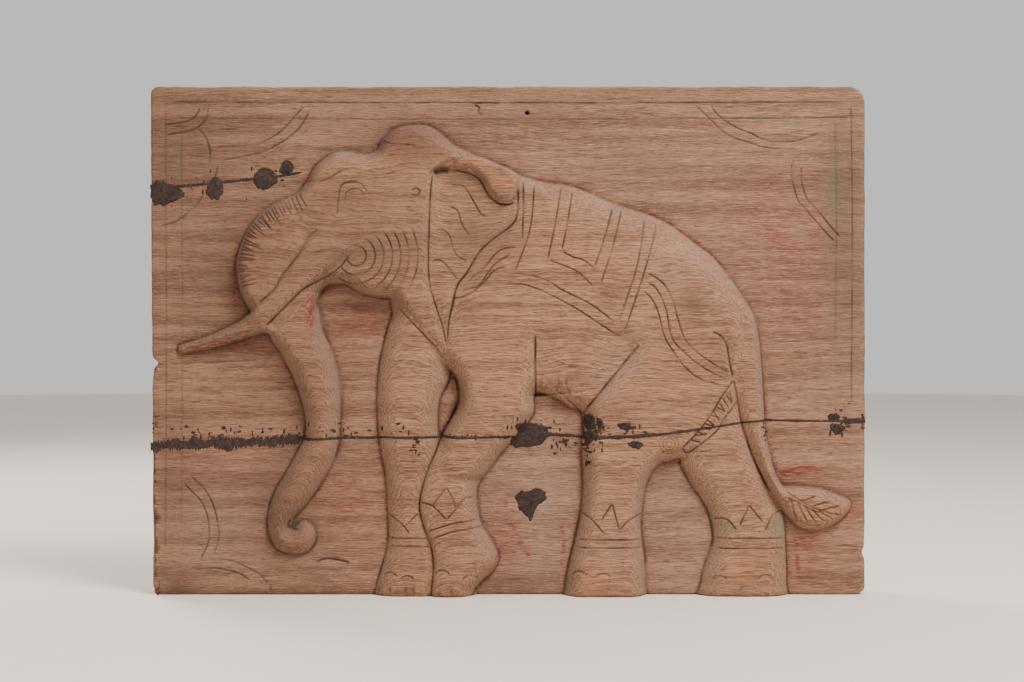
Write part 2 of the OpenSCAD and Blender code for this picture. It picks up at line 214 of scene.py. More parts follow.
# The ear, the brow, the crown and the cheek
HEAD_LINES = [
    [(-58, 409), (-46, 408), (-40, 402), (-33, 390), (-27, 380), (-20, 377)],
    [(-58, 387), (-50, 383), (-46, 370), (-38, 358)],
    [(-72, 363), (-65, 364), (-58, 358), (-55, 347), (-50, 338), (-40, 333)],
    [(-75, 333), (-68, 334), (-62, 330), (-56, 322), (-50, 315)],
    [(-169, 377), (-166, 405), (-156, 411), (-145, 409), (-138, 399)],
    [(-161, 391), (-160, 400), (-154, 404), (-146, 403), (-142, 397)],
    [(-125, 454), (-116, 449), (-90, 447)],
    [(-200, 413), (-183, 412), (-163, 423)],
    [(-95, 403), (-90, 405), (-87, 401), (-91, 398), (-96, 399)],
]
BODY_LINES = [
    # Straps from the neck to the saddle cloth
    [(-46, 304), (-29, 309), (-14, 329), (3, 340)],
    [(-41, 312), (-24, 326), (-9, 343), (10, 347)],
    [(-57, 296), (-40, 299), (-24, 312), (-13, 324), (0, 328)],
    # Upright bands of the saddle cloth
    [(15, 413), (15, 385), (14, 352)],
    [(26, 410), (23, 372), (17, 349), (6, 321)],
    [(53, 408), (46, 367), (39, 334)],
    [(64, 404), (58, 367), (53, 343)],
    [(104, 387), (94, 352), (85, 326)],
    [(113, 386), (103, 346), (91, 309)],
    [(136, 378), (128, 331), (117, 295), (108, 270)],
    [(148, 374), (140, 341), (130, 308), (114, 260)],
    # Hems of the saddle cloth
    [(39, 334), (54, 329), (69, 322), (84, 308)],
    [(53, 343), (64, 337), (74, 334), (85, 326)],
    [(-9, 311), (18, 309), (41, 300), (69, 285), (92, 270), (111, 258)],
    [(8, 321), (33, 316), (56, 303), (82, 290), (106, 272)],
    # Crupper strap
    [(135, 322), (151, 313), (161, 298), (168, 275), (174, 257), (184, 245), (202, 232),
     (223, 220)],
    [(134, 313), (146, 306), (156, 285), (162, 257), (176, 241), (194, 227), (217, 215)],
    [(130, 304), (140, 298), (148, 283), (154, 260), (161, 247), (174, 229), (191, 216),
     (217, 209)],
    # Anklets and petals of the near legs
    [(-80, 65), (-55, 73), (-29, 77)],
    [(-77, 57), (-55, 65), (-25, 70)],
    [(69, 57), (100, 57), (134, 57)],
    [(69, 49), (100, 49), (134, 49)],
    [(-87, 94), (-75, 91), (-61, 77)],
    [(-75, 91), (-61, 109)],
    [(-61, 109), (-55, 98), (-52, 88)],
    [(-61, 77), (-53, 86), (-43, 98), (-33, 99)],
    [(73, 84), (84, 76), (96, 62)],
    [(92, 76), (103, 93)],
    [(103, 93), (110, 66)],
    [(110, 66), (119, 76), (134, 83)],
]
LOW_LINES = [
    # Anklets and petals of the far legs
    [(-118, 58), (-100, 58), (-79, 58)],
    [(-118, 50), (-100, 50), (-77, 50)],
    [(-118, 81), (-106, 73), (-98, 63)],
    [(-99, 73), (-89, 83)],
    [(206, 58), (240, 58), (276, 58)],
    [(206, 48), (240, 48), (276, 48)],
    [(204, 77), (217, 77), (227, 66)],
    [(230, 71), (239, 91)],
    [(239, 91), (253, 74)],
    [(255, 66), (263, 81), (274, 85)],
    # Midrib of the tail's tuft
    [(276, 105), (291, 95), (304, 88), (322, 83)],
    [(276, 99), (291, 92), (304, 85), (314, 84)],
]
# Veins of the tuft: each runs from the midrib to the edge
VEINS = [[(281, 97), (284, 84), (289, 74)], [(287, 94), (293, 82), (299, 71)],
         [(294, 91), (301, 80), (308, 71)], [(301, 88), (309, 79), (317, 73)],
         [(308, 86), (317, 80), (325, 77)], [(315, 84), (325, 82), (334, 81)],
         [(291, 95), (300, 98), (308, 101)], [(301, 90), (313, 93), (322, 95)],
         [(311, 86), (323, 89), (334, 91)]]
# Faint wrinkles of the belly
RIBS = [[(38, 229), (34, 220), (32, 210), (36, 202)], [(49, 221), (50, 211), (47, 200)],
        [(69, 226), (60, 219), (58, 210), (64, 197)], [(73, 214), (73, 204), (71, 196)],
        [(38, 237), (52, 232), (66, 228), (80, 230)]]

# Lines scribed into the ground's corners
CORNER_LINES = [
    [(-300, 489), (-302, 477), (-310, 468), (-320, 464), (-343, 460)],
    [(-308, 488), (-312, 480), (-320, 474), (-343, 470)],
    [(-310, 466), (-304, 460), (-300, 451), (-298, 441), (-299, 430)],
    [(-290, 432), (-294, 415), (-303, 403), (-310, 392), (-320, 382), (-333, 373), (-348, 369)],
    [(-290, 434), (-268, 438), (-246, 443), (-228, 452), (-218, 459), (-208, 468), (-198, 485)],
    [(-293, 448), (-268, 449), (-246, 453), (-227, 464), (-212, 480), (-203, 490)],
    [(186, 491), (200, 478), (212, 466), (224, 458), (242, 452), (254, 448), (277, 446),
     (289, 448)],
    [(202, 491), (210, 480), (227, 468), (242, 462), (257, 455), (277, 453), (292, 455),
     (312, 462)],
    [(286, 438), (283, 425), (285, 410), (290, 394), (296, 387), (310, 371), (322, 358),
     (328, 352)],
    [(293, 430), (293, 415), (296, 403), (300, 394), (307, 387), (322, 369), (333, 357)],
    [(-318, 120), (-303, 105), (-295, 90), (-291, 75), (-289, 62), (-291, 50), (-295, 40)],
    [(-324, 112), (-316, 103), (-308, 95), (-301, 80), (-299, 65), (-300, 52), (-308, 35)],
    [(-298, 35), (-286, 36), (-273, 33), (-258, 26), (-248, 20), (-240, 10), (-236, 3)],
    [(-318, 27), (-293, 27), (-278, 24), (-268, 21), (-258, 15)],
]
# Lines of the double frame: (from, to, strength)
FRAME_LINES = [((-343, 493), (343, 493), 1), ((-343, 477), (150, 476), 0.5),
               ((150, 477), (343, 478), 0.8), ((-343, 40), (-343, 493), 0.5),
               ((-327, 60), (-327, 478), 0.35), ((343, 190), (343, 493), 0.8),
               ((327, 240), (327, 478), 0.5)]

CHEEK = (-150, 338)
# Wrinkles of the cheek: (radius, from, to), with angles in degrees
WRINKLES = [(10, -190, 120), (19, -165, 80), (27.5, -150, 58), (36, -64, 46), (44, -56, 40),
            (52, -48, 34), (61, -40, 30)]
# Where a nearer part's edge crosses a further one
OVERLAPS = [
    [(-50, 200), (-54, 184), (-58, 175), (-66, 161), (-72, 144), (-82, 120), (-88, 92),
     (-84, 71), (-77, 52), (-74, 32), (-76, 8), (-77, -6)],
    [(-72, 144), (-66, 161), (-58, 175), (-50, 192), (-50, 209), (-55, 221)],
]
NAIL_HOLE = (19, HEIGHT - 27)
NAIL_HOLE_RADIUS = 2.2

# Dabs of pitch beside the joint, over the crack and in the ground under the belly
DABS = [
    [(7, 171), (20, 172), (36, 168), (39, 160), (30, 151), (12, 148), (4, 155), (10, 162)],
    [(75, 179), (82, 181), (86, 177), (85, 168), (78, 168)],
    [(88, 178), (93, 175), (94, 167), (89, 168)],
    [(76, 164), (87, 164), (85, 157), (79, 151), (76, 155)],
    [(107, 171), (115, 173), (122, 170), (116, 166)],
    [(119, 153), (128, 155), (134, 151), (126, 148)],
    [(320, 180), (329, 181), (331, 176), (322, 175)],
    [(324, 170), (334, 170), (336, 165), (329, 160), (325, 164)],
]
BLOBS = [
    [(-356, 411), (-340, 411), (-327, 406), (-328, 397), (-342, 391), (-356, 393)],
    [(-301, 406), (-297, 416), (-288, 416), (-286, 402), (-293, 396), (-300, 399)],
    [(-255, 417), (-247, 427), (-236, 425), (-231, 415), (-240, 406), (-251, 408)],
    [(-229, 424), (-221, 435), (-214, 427), (-221, 420)],
]
KNOT = [(8, 100), (15, 103), (22, 104), (28, 107), (34, 105), (37, 100), (36, 94), (30, 90),
        (26, 82), (24, 76), (18, 79), (11, 88)]

# Dark stains, each (x, z, half width, half height, strength). The spots at (-178, 322),
# (-64, 423) and (-40, 414) are painted shade: in the mouth's trough, in the ear's pocket and
# under the lobe.
STAINS_AND_SHADE = [(101, 302, 13, 8, 0.85), (183, 290, 16, 20, 0.6), (-330, 10, 20, 12, 0.8),
          (-345, 20, 12, 14, 0.6), (-208, 165, 9, 12, 0.5), (19, 483, 16, 5, 0.5),
          (40, 483, 22, 3, 0.35), (-8, 421, 5, 4, 1.0), (76, 256, 3, 2.5, 0.8),
          (349, 418, 2.5, 2.5, 0.8), (-43, 117, 18, 4, 0.55), (-143, 295, 22, 9, 0.4),
          (-245, 262, 7, 7, 0.7), (-231, 245, 7, 6, 0.5), (-64, 423, 10, 4, 0.8),
          (10, 12, 40, 8, 0.5), (-190, 15, 26, 8, 0.4), (-240, 238, 8, 8, 0.4),
          (-150, 375, 60, 22, 0.16), (-40, 280, 26, 14, 0.25), (210, 240, 16, 22, 0.3),
          (-70, 300, 14, 8, 0.3), (-200, 200, 12, 26, 0.25), (-335, 120, 30, 90, 0.46),
          (0, 500, 380, 10, 0.35), (200, 425, 140, 30, 0.2), (-262, 325, 100, 130, 0.5),
          (-290, 90, 80, 90, 0.2), (-150, 365, 100, 80, 0.5), (-100, 452, 50, 28, 0.74),
          (-200, 190, 36, 120, 0.42), (-222, 84, 38, 60, 0.72), (-30, 360, 44, 60, 0.5),
          (338, 380, 26, 130, 0.54), (-60, 480, 200, 16, 0.3), (-325, 440, 90, 100, 0.55),
          (-40, 414, 30, 8, 0.75), (-178, 322, 12, 26, 0.5), (97, 195, 24, 10, 0.2),
          (-330, 395, 40, 16, 0.35)]
# Traces of green paint, laid out as the stains are
GREEN_PAINT = [(327, 410, 7, 50, 0.6), (-327, 437, 2.2, 26, 0.7), (257, 478, 56, 3, 0.45),
               (217, 66, 9, 6, 0.7), (268, 68, 9, 14, 0.7), (284, 472, 16, 4, 0.35)]
# Traces of red paint, laid out as the stains are
RED_PAINT = [(265, 350, 55, 55, 0.28), (280, 122, 18, 3, 0.9), (300, 127, 16, 2, 0.7),
             (300, 55, 16, 10, 0.5), (300, 40, 18, 18, 0.3), (170, 60, 22, 50, 0.16),
             (-280, 250, 40, 6, 0.5), (-290, 130, 60, 30, 0.18), (-160, 95, 30, 30, 0.3),
             (-150, 270, 30, 25, 0.3), (0, 60, 16, 40, 0.35), (-272, 315, 3, 30, 0.9),
             (-196, 280, 4, 20, 0.9), (-100, 460, 50, 10, 0.25), (285, 275, 50, 40, 0.18)]
# Patches rubbed down to orange wood, laid out as the stains are
BARE_WOOD = [(-8, 405, 16, 12, 1.0), (-30, 430, 22, 7, 0.7), (85, 20, 20, 12, 0.5),
             (245, 30, 26, 16, 0.6), (120, 215, 50, 25, 0.5), (338, 88, 8, 8, 1.0),
             (300, 90, 40, 20, 0.35), (-260, 300, 10, 30, 0.2), (-90, 440, 40, 14, 0.4),
             (-45, 20, 20, 14, 0.3), (60, 330, 70, 30, 0.3), (0, 230, 30, 40, 0.3),
             (255, 140, 10, 40, 0.4), (160, 152, 14, 12, 0.6), (-110, 60, 12, 20, 0.2),
             (315, 82, 26, 10, 0.8)]
# Patches bleached pale, laid out as the stains are
PALE_WOOD = [(32, 90, 52, 80, 0.75), (172, 60, 40, 80, 0.75), (-290, 70, 70, 60, 0.3),
             (112, 218, 26, 30, 0.8), (200, 330, 70, 30, 0.5), (110, 45, 34, 30, 0.4),
             (335, 300, 20, 90, 0.3)]
# Thin lines of red paint, each with its strength
RED_LINES = [([(260, 120), (275, 122), (292, 127), (310, 128)], 1.0),
             ([(3, 110), (-2, 85), (6, 62), (14, 45)], 0.8),
             ([(8, 100), (3, 80), (10, 60), (20, 40), (22, 25)], 0.7),
             ([(287, 62), (289, 40), (291, 10)], 0.8),
             ([(-330, 243), (-300, 247), (-270, 254), (-248, 262)], 0.8),
             ([(52, 75), (56, 50), (52, 25)], 0.7)]
# Toenails, each (x, z, half width, height)
TOENAILS = [(-117, 17, 7, 7), (-100, 15, 7, 6), (-123, 2, 8, 6), (-98, 2, 7, 5), (-65, 19, 8, 8),
            (-62, 3, 7, 6), (-37, 15, 9, 7), (71, 19, 8, 7), (94, 18, 8, 6), (210, 14, 8, 7),
            (238, 4, 9, 7), (256, 16, 8, 6)]
# Cuts where the legs and the tail meet the body
FOLD_LINES = [[(28, 199), (27, 232), (27, 262)], [(130, 250), (115, 232), (84, 194), (74, 183)],
              [(202, 263), (210, 259), (216, 250), (219, 233), (223, 216)],
              [(223, 216), (227, 199), (232, 173), (242, 143), (255, 115), (264, 100)]]
# The two edges and the lower end of the strap under the tail
STRAP_LINES = [[(223, 215), (212, 200), (200, 180), (187, 163), (173, 148)],
               [(228, 195), (214, 177), (207, 165), (189, 150)],
               [(173, 148), (178, 143), (189, 150)]]
# The line from the ear's root down to the breast
NECK_LINE = [(-74, 423), (-77, 399), (-78, 370), (-79, 331), (-77, 307), (-72, 290), (-65, 268),
             (-60, 246)]
# Soft mounds on the body, each (x, z, half width, half height, angle, height)
BODY_MOUNDS = [(190, 300, 55, 70, 20, 2.2), (-10, 250, 50, 90, 0, 1.8),
               (80, 320, 90, 60, -10, 1.4), (110, 170, 40, 60, 0, 1.6), (-45, 150, 30, 40, 0, 1.2),
               (-40, 40, 30, 30, 0, 1.0)]
# Soft mounds on the head, laid out as the body's are
HEAD_MOUNDS = [(-98, 452, 42, 20, -6, 2.6), (-160, 425, 32, 18, 10, 1.6),
               (-228, 335, 34, 55, -15, 1.8), (-112, 335, 45, 36, 0, 2.0),
               (-85, 270, 26, 26, 0, -3.0), (-20, 425, 40, 18, -25, 1.2)]
# Flecks beside the joint, each (x, z, half width, half height, number)
SEAM_FLECKS = [(-290, 163, 110, 7, 34), (-180, 165, 50, 10, 22), (-91, 151, 5, 8, 14),
               (22, 162, 22, 16, 60), (52, 152, 14, 12, 18), (84, 164, 12, 15, 50),
               (78, 140, 5, 14, 12), (122, 166, 20, 8, 22), (332, 170, 12, 14, 30),
               (-100, 164, 20, 5, 6), (-40, 160, 40, 3, 12), (256, 168, 3, 12, 8),
               (355, 172, 4, 10, 10)]
# Flecks beside the crack, laid out as the joint's are
CRACK_FLECKS = [(-342, 402, 30, 18, 16), (-294, 406, 16, 18, 8), (-242, 416, 24, 14, 8)]


# ---- Curves ----

def spline(points, closed=False, steps=6):
    """A Catmull-Rom curve: each stretch mixes two points and their neighbours by cubic weights
    that pass through both points."""
    p = np.asarray(points, float)
    if closed:
        a, b, c, d = np.roll(p, 1, 0), p, np.roll(p, -1, 0), np.roll(p, -2, 0)
    else:
        ends = np.vstack([p[:1], p, p[-1:]])
        a, b, c, d = ends[:-3], ends[1:-2], ends[2:-1], ends[3:]
    a, b, c, d = (corner[:, None, :] for corner in (a, b, c, d))
    t = (np.arange(steps) / steps)[None, :, None]
    curve = 0.5 * (2 * b + (c - a) * t + (2 * a - 5 * b + 4 * c - d) * t ** 2
                   + (3 * b - 3 * c + d - a) * t ** 3)
    return np.vstack([curve.reshape(-1, 2), p[:1] if closed else p[-1:]])


def arc(centre, radius, start, stop, count=12):
    """Points on a circle between two angles, in degrees."""
    angle = np.radians(np.linspace(start, stop, count))
    return radius * np.column_stack([np.cos(angle), np.sin(angle)]) + centre


def smooth(t):
    """Rises from 0 to 1 with level ends: 3t² − 2t³."""
    t = np.clip(t, 0, 1)
    return t * t * (3 - 2 * t)


def rounded(t, power=0.75):
    """The section of a carved edge: (1 − (1 − t)²) to a power, steep at 0 and level at 1."""
    return (1 - (1 - np.clip(t, 0, 1)) ** 2) ** power


# ---- The carving as a map ----

# The sizes that the carving is cut with, in millimetres, and how worn it is
Cuts = collections.namedtuple("Cuts", "edge_round line_width line_depth wear")


class Carving:
    """The panel's face over a regular grid: the height in front of the ground, and the marks
    that the finish reads, such as the dark fill of the cuts and painted shade round the figure."""

    def __init__(self, cuts):
        self.cuts = cuts
        self.x = np.arange(-HALF - MAP_MARGIN, HALF + MAP_MARGIN, PITCH_OF_MAP)
        self.z = np.arange(-MAP_MARGIN, HEIGHT + MAP_MARGIN, PITCH_OF_MAP)
        self.shape = len(self.z), len(self.x)
        self.height = np.zeros(self.shape)
        self.mark = {name: np.zeros(self.shape) for name in MARKS}
        self.broken = np.clip(0.95 + 0.2 * self.ripple(7, 5, 5), 0.5, 1.25)

    def window(self, low, high):
        """The rows and columns of the grid between two corners."""
        cols = np.clip(np.searchsorted(self.x, (low[0], high[0])), 0, len(self.x))
        rows = np.clip(np.searchsorted(self.z, (low[1], high[1])), 0, len(self.z))
        return slice(*rows), slice(*cols)

    def near(self, line, reach):
        """The window round a line, and in it the distance from the line, the side of it (1 on
        the left) and the share of its length passed. Each straight stretch gives its own values
        over its own window, and the nearest stretch's are kept."""
        rows, cols = self.window(line.min(0) - reach, line.max(0) + reach)
        shape = rows.stop - rows.start, cols.stop - cols.start
        distance, side, share = np.full(shape, float(reach)), np.zeros(shape), np.zeros(shape)
        lengths = np.linalg.norm(np.diff(line, axis=0), axis=1)
        passed = np.concatenate([[0], np.cumsum(lengths)])
        for a, b, length, start in zip(line[:-1], line[1:], lengths, passed):
            if length == 0:
                continue
            r, c = self.window(np.minimum(a, b) - reach, np.maximum(a, b) + reach)
            along = (b - a) / length
            x = self.x[c][None, :] - a[0]
            z = self.z[r][:, None] - a[1]
            t = np.clip(x * along[0] + z * along[1], 0, length)
            d = np.hypot(x - t * along[0], z - t * along[1])
            part = (slice(r.start - rows.start, r.stop - rows.start),
                    slice(c.start - cols.start, c.stop - cols.start))
            closer = d < distance[part]
            distance[part][closer] = d[closer]
            side[part][closer] = np.sign(along[0] * z - along[1] * x)[closer]
            share[part][closer] = ((start + t) / passed[-1])[closer]
        return (rows, cols), distance, side, share

    def inside(self, loop):
        """True inside a closed line: along a row, after an odd number of crossings."""
        crossings = np.zeros((self.shape[0], self.shape[1] + 1), int)
        for a, b in zip(loop[:-1], loop[1:]):
            low, high = (a, b) if a[1] < b[1] else (b, a)
            first, last = np.searchsorted(self.z, (low[1], high[1]))
            if last > first:
                slant = (high[0] - low[0]) / (high[1] - low[1])
                at = low[0] + (self.z[first:last] - low[1]) * slant
                np.add.at(crossings, (np.arange(first, last), np.searchsorted(self.x, at)), 1)
        return np.cumsum(crossings, axis=1)[:, :-1] % 2 == 1

    def blur(self, field, along, across):
        """Gaussian smoothing, done on the field's waves: each shrinks by its own length."""
        fz = np.fft.fftfreq(self.shape[0], PITCH_OF_MAP)[:, None]
        fx = np.fft.rfftfreq(self.shape[1], PITCH_OF_MAP)[None, :]
        keep = np.exp(-2 * np.pi ** 2 * ((fx * along) ** 2 + (fz * across) ** 2))
        return np.fft.irfft2(np.fft.rfft2(field) * keep, s=self.shape)

    def ripple(self, seed, along, across):
        """Seeded waviness of unit strength, drawn out to two lengths."""
        field = self.blur(np.random.default_rng(seed).standard_normal(self.shape), along, across)
        return field / field.std()

    def spot(self, x, z, rx, rz, angle=0):
        """A soft round spot: the bell exp(−r²), turned by an angle in degrees."""
        c, s = np.cos(np.radians(angle)), np.sin(np.radians(angle))
        u = self.x[None, :] - x
        v = self.z[:, None] - z
        return np.exp(-((u * c + v * s) / rx) ** 2 - ((v * c - u * s) / rz) ** 2)

    def mounds(self, base, spots):
        """A level field with soft mounds: (x, z, rx, rz, angle, height) each."""
        field = np.full(self.shape, float(base))
        for x, z, rx, rz, angle, height in spots:
            field += height * self.spot(x, z, rx, rz, angle)
        return field

    def swell(self, outline, level, width, power=0.75):
        """Raises the figure inside an outline: from what is there at its edge up to a level,
        by the section of a carved edge."""
        loop = spline(outline, closed=True)
        area, distance, _, _ = self.near(loop, width)
        inside = self.inside(loop)[area]
        under = self.height[area]
        top = np.broadcast_to(level, self.shape)[area]
        raised = under + (top - under) * rounded(distance / width, power)
        self.height[area] = np.where(inside, raised, under)
        figure = self.mark["figure"][area]
        figure[inside] = 1

    def fold(self, points, depth, near, far, ends=(0.2, 0.2)):
        """Sinks the face at a line: on the left it falls to the line in a short round, and on
        the right it climbs back over a longer distance. It fades out at its ends."""
        area, distance, side, share = self.near(spline(points), max(near, far))
        fall = 1 - rounded(distance / near)
        climb = 1 - smooth(distance / far)
        fade = self.fade(share, ends)
        self.height[area] -= depth * fade * np.where(side > 0, fall, climb)

    def fade(self, share, ends):
        """1 along a line, dropping to 0 over the given shares at its ends."""
        start, stop = (np.maximum(end, 1e-6) for end in ends)
        return smooth(share / start) * smooth((1 - share) / stop)

    def score(self, points, width=None, depth=None, grime_and_shade=1.0, ends=(0.06, 0.06), curved=True):
        """Cuts a V-shaped line and darkens it: soiling in a line, and painted shade where a wide
        cut stands for a deep pocket. Past its ends the cut has no depth.
        """
        width = width or self.cuts.line_width
        depth = depth if depth is not None else self.cuts.line_depth
        line = spline(points) if curved else np.asarray(points, float)
        reach = width * 1.5
        area, distance, _, share = self.near(line, reach)
        fade = self.fade(share, ends)
        cut = np.clip(1 - distance / (width / 2), 0, 1)
        lip = np.exp(-((distance - width * 0.8) / (width * 0.35)) ** 2)
        broken = self.broken[area]
        self.height[area] -= fade * broken * depth * (cut - 0.08 * lip)
        dirt_and_shade = fade * grime_and_shade * broken * np.exp(-(distance / (width * 0.4)) ** 2)
        self.mark["grime_and_shade"][area] = np.maximum(self.mark["grime_and_shade"][area], dirt_and_shade)

    def trace(self, name, points, reach, strength, ends=(0.2, 0.2), closed=False):
        """Adds a mark along a line, strongest on it."""
        area, distance, _, share = self.near(spline(points, closed), reach)
        fade = self.fade(share, ends) if not closed else 1
        mark = strength * fade * (1 - smooth(distance / reach))
        self.mark[name][area] = np.maximum(self.mark[name][area], mark)

    def sample(self, field, x, z):
        """The field between grid points, by the shares of the four round each place."""
        i = np.clip((z - self.z[0]) / PITCH_OF_MAP, 0, self.shape[0] - 1.001)
        j = np.clip((x - self.x[0]) / PITCH_OF_MAP, 0, self.shape[1] - 1.001)
        i0, j0 = i.astype(int), j.astype(int)
        v, u = i - i0, j - j0
        return ((1 - v) * ((1 - u) * field[i0, j0] + u * field[i0, j0 + 1])
                + v * ((1 - u) * field[i0 + 1, j0] + u * field[i0 + 1, j0 + 1]))


def raise_figure(c):
    """Builds the elephant from the back forwards, each part over what lies behind it."""
    edge = c.cuts.edge_round
    c.swell(FAR_FORE_LEG, c.mounds(FAR_LEG_LEVEL, [(-100, 190, 22, 70, 0, 1.5)]),
            edge * 1.9, SOFT)
    c.swell(FAR_HIND_LEG, c.mounds(FAR_LEG_LEVEL, [(215, 150, 30, 50, 30, 1.5)]),
            edge * 1.9, SOFT)
    body = c.mounds(BODY_LEVEL, BODY_MOUNDS)
    area, distance, _, _ = c.near(spline(BACK_LINE), BACK_REACH)
    body[area] -= BACK_FALL * (1 - smooth(distance / BACK_REACH))
    c.swell(BODY, np.minimum(body, BODY_TOP), edge * 1.5, SOFT)
    c.swell(TUFT, c.mounds(TUFT_LEVEL, [(300, 90, 30, 16, 0, 2.5)]), edge)
    c.swell(TAIL, np.maximum(c.height + 0.6, TAIL_LEVEL), edge * 0.9)
    down = smooth((c.z[:, None] - 50) / 190)
    c.swell(TRUNK, TRUNK_TIP_LEVEL + TRUNK_RISE * down, edge * 1.55, SOFT)
    root = smooth((c.x[None, :] + 335) / 110)
    c.swell(TUSK, TUSK_TIP_LEVEL + TUSK_RISE * root, edge * 0.75)
    head = c.mounds(HEAD_LEVEL, HEAD_MOUNDS)
    c.swell(HEAD, np.minimum(head, MAX_HEIGHT - 0.4), edge * 1.15, SOFT)


def shape_head(c):
    """The ear's hollow, the hanging lobe, the tusk's sheath, the mouth and the cheek."""
    ear = spline(EAR, closed=True)
    area, distance, _, _ = c.near(ear, EAR_REACH)
    hollow = c.inside(ear)[area] * rounded(distance / EAR_REACH, 0.6)
    top = smooth((c.z[area[0]] - 290) / 130)[:, None]
    c.height[area] -= (0.8 + 4.4 * top) * hollow
    c.swell(LOBE, MAX_HEIGHT - 0.9, 6)
    c.fold(NECK_LINE, 1.8, 16, 8, (0.02, 0.02))
    c.fold([(-262, 278), (-248, 290), (-232, 304), (-223, 319), (-208, 338), (-198, 355),
            (-185, 366)], 2.4, 30, 4, (0.05, 0.3))
    c.swell(SHEATH, np.minimum(c.height + 2.2, MAX_HEIGHT - 0.6), 8)
    c.fold([(-238, 268), (-213, 295), (-201, 304), (-191, 312), (-174, 326), (-162, 338),
            (-156, 348), (-162, 356)], 4.0, 8, 16, (0.05, 0.3))
    c.fold([(-190, 300), (-183, 309), (-172, 313), (-160, 313)], 1.2, 8, 8, (0.2, 0.3))
    c.fold([(-57, 270), (-55, 290), (-50, 309), (-41, 321), (-29, 341), (-17, 353), (3, 368),
            (9, 380), (10, 409)], 1.6, 7, 12, (0.05, 0.05))
    for radius, start, stop in WRINKLES:
        c.score(arc(CHEEK, radius, start, stop, 18), depth=c.cuts.line_depth * FAINT, grime_and_shade=0.7,
                ends=(0.15, 0.15), curved=False)
    for line in HEAD_LINES:
        c.score(line, depth=c.cuts.line_depth * FAINT, grime_and_shade=0.75)
    c.score(NECK_LINE, grime_and_shade=0.8)
    c.score([(10, 409), (9, 380), (3, 368), (-17, 353), (-29, 341), (-41, 321), (-50, 309),
             (-55, 290), (-59, 270), (-60, 250)], 2.2, c.cuts.line_depth * 1.3)
    c.score([(-241, 267), (-217, 291), (-201, 306), (-170, 324), (-156, 340)], 2.0,
            c.cuts.line_depth * 1.2, 0.9)
    c.score([(-248, 290), (-232, 304), (-223, 319), (-208, 338), (-198, 355), (-185, 366)],
            grime_and_shade=0.6, depth=c.cuts.line_depth * 0.9)
    # The pocket at the top of the ear, under the lobe: a wide deep cut painted fully dark as shade
    c.score([(-74, 420), (-66, 423), (-55, 423)], 8, 3.2, 1.0, (0.1, 0.4))
    c.score([(-55, 424), (-38, 420), (-28, 414), (-20, 400), (-10, 391), (0, 389), (8, 392)],
            2.4, 1.6, 0.9)
    c.score([(-111, 289), (-90, 267), (-71, 247), (-59, 229)], 1.8, 1.0, 0.8, (0.1, 0.2))


def comb(c):
    """Short cuts square to the edge of the forehead, all along it."""
    edge = spline([(-206, 405), (-216, 399), (-232, 391), (-248, 380), (-260, 365),
                   (-267, 349), (-270, 333), (-269, 317), (-264, 302)])
    steps = np.concatenate([[0], np.cumsum(np.linalg.norm(np.diff(edge, axis=0), axis=1))])
    rng = np.random.default_rng(11)
    for at in np.arange(4, steps[-1] - 2, 3.9):
        place = at + rng.uniform(-0.6, 0.6)
        x, z = np.interp(place, steps, edge[:, 0]), np.interp(place, steps, edge[:, 1])
        x2 = np.interp(place + 2, steps, edge[:, 0])
        z2 = np.interp(place + 2, steps, edge[:, 1])
        inward = np.array([z - z2, x2 - x]) / np.hypot(x2 - x, z2 - z)
        start = np.array([x, z]) + inward * 2.5
        stop = start + inward * rng.uniform(12, 23) + (rng.uniform(-1, 3), rng.uniform(-3, 1))
        c.score([start, stop], 1.8, 1.1, 0.75, (0.05, 0.35), curved=False)


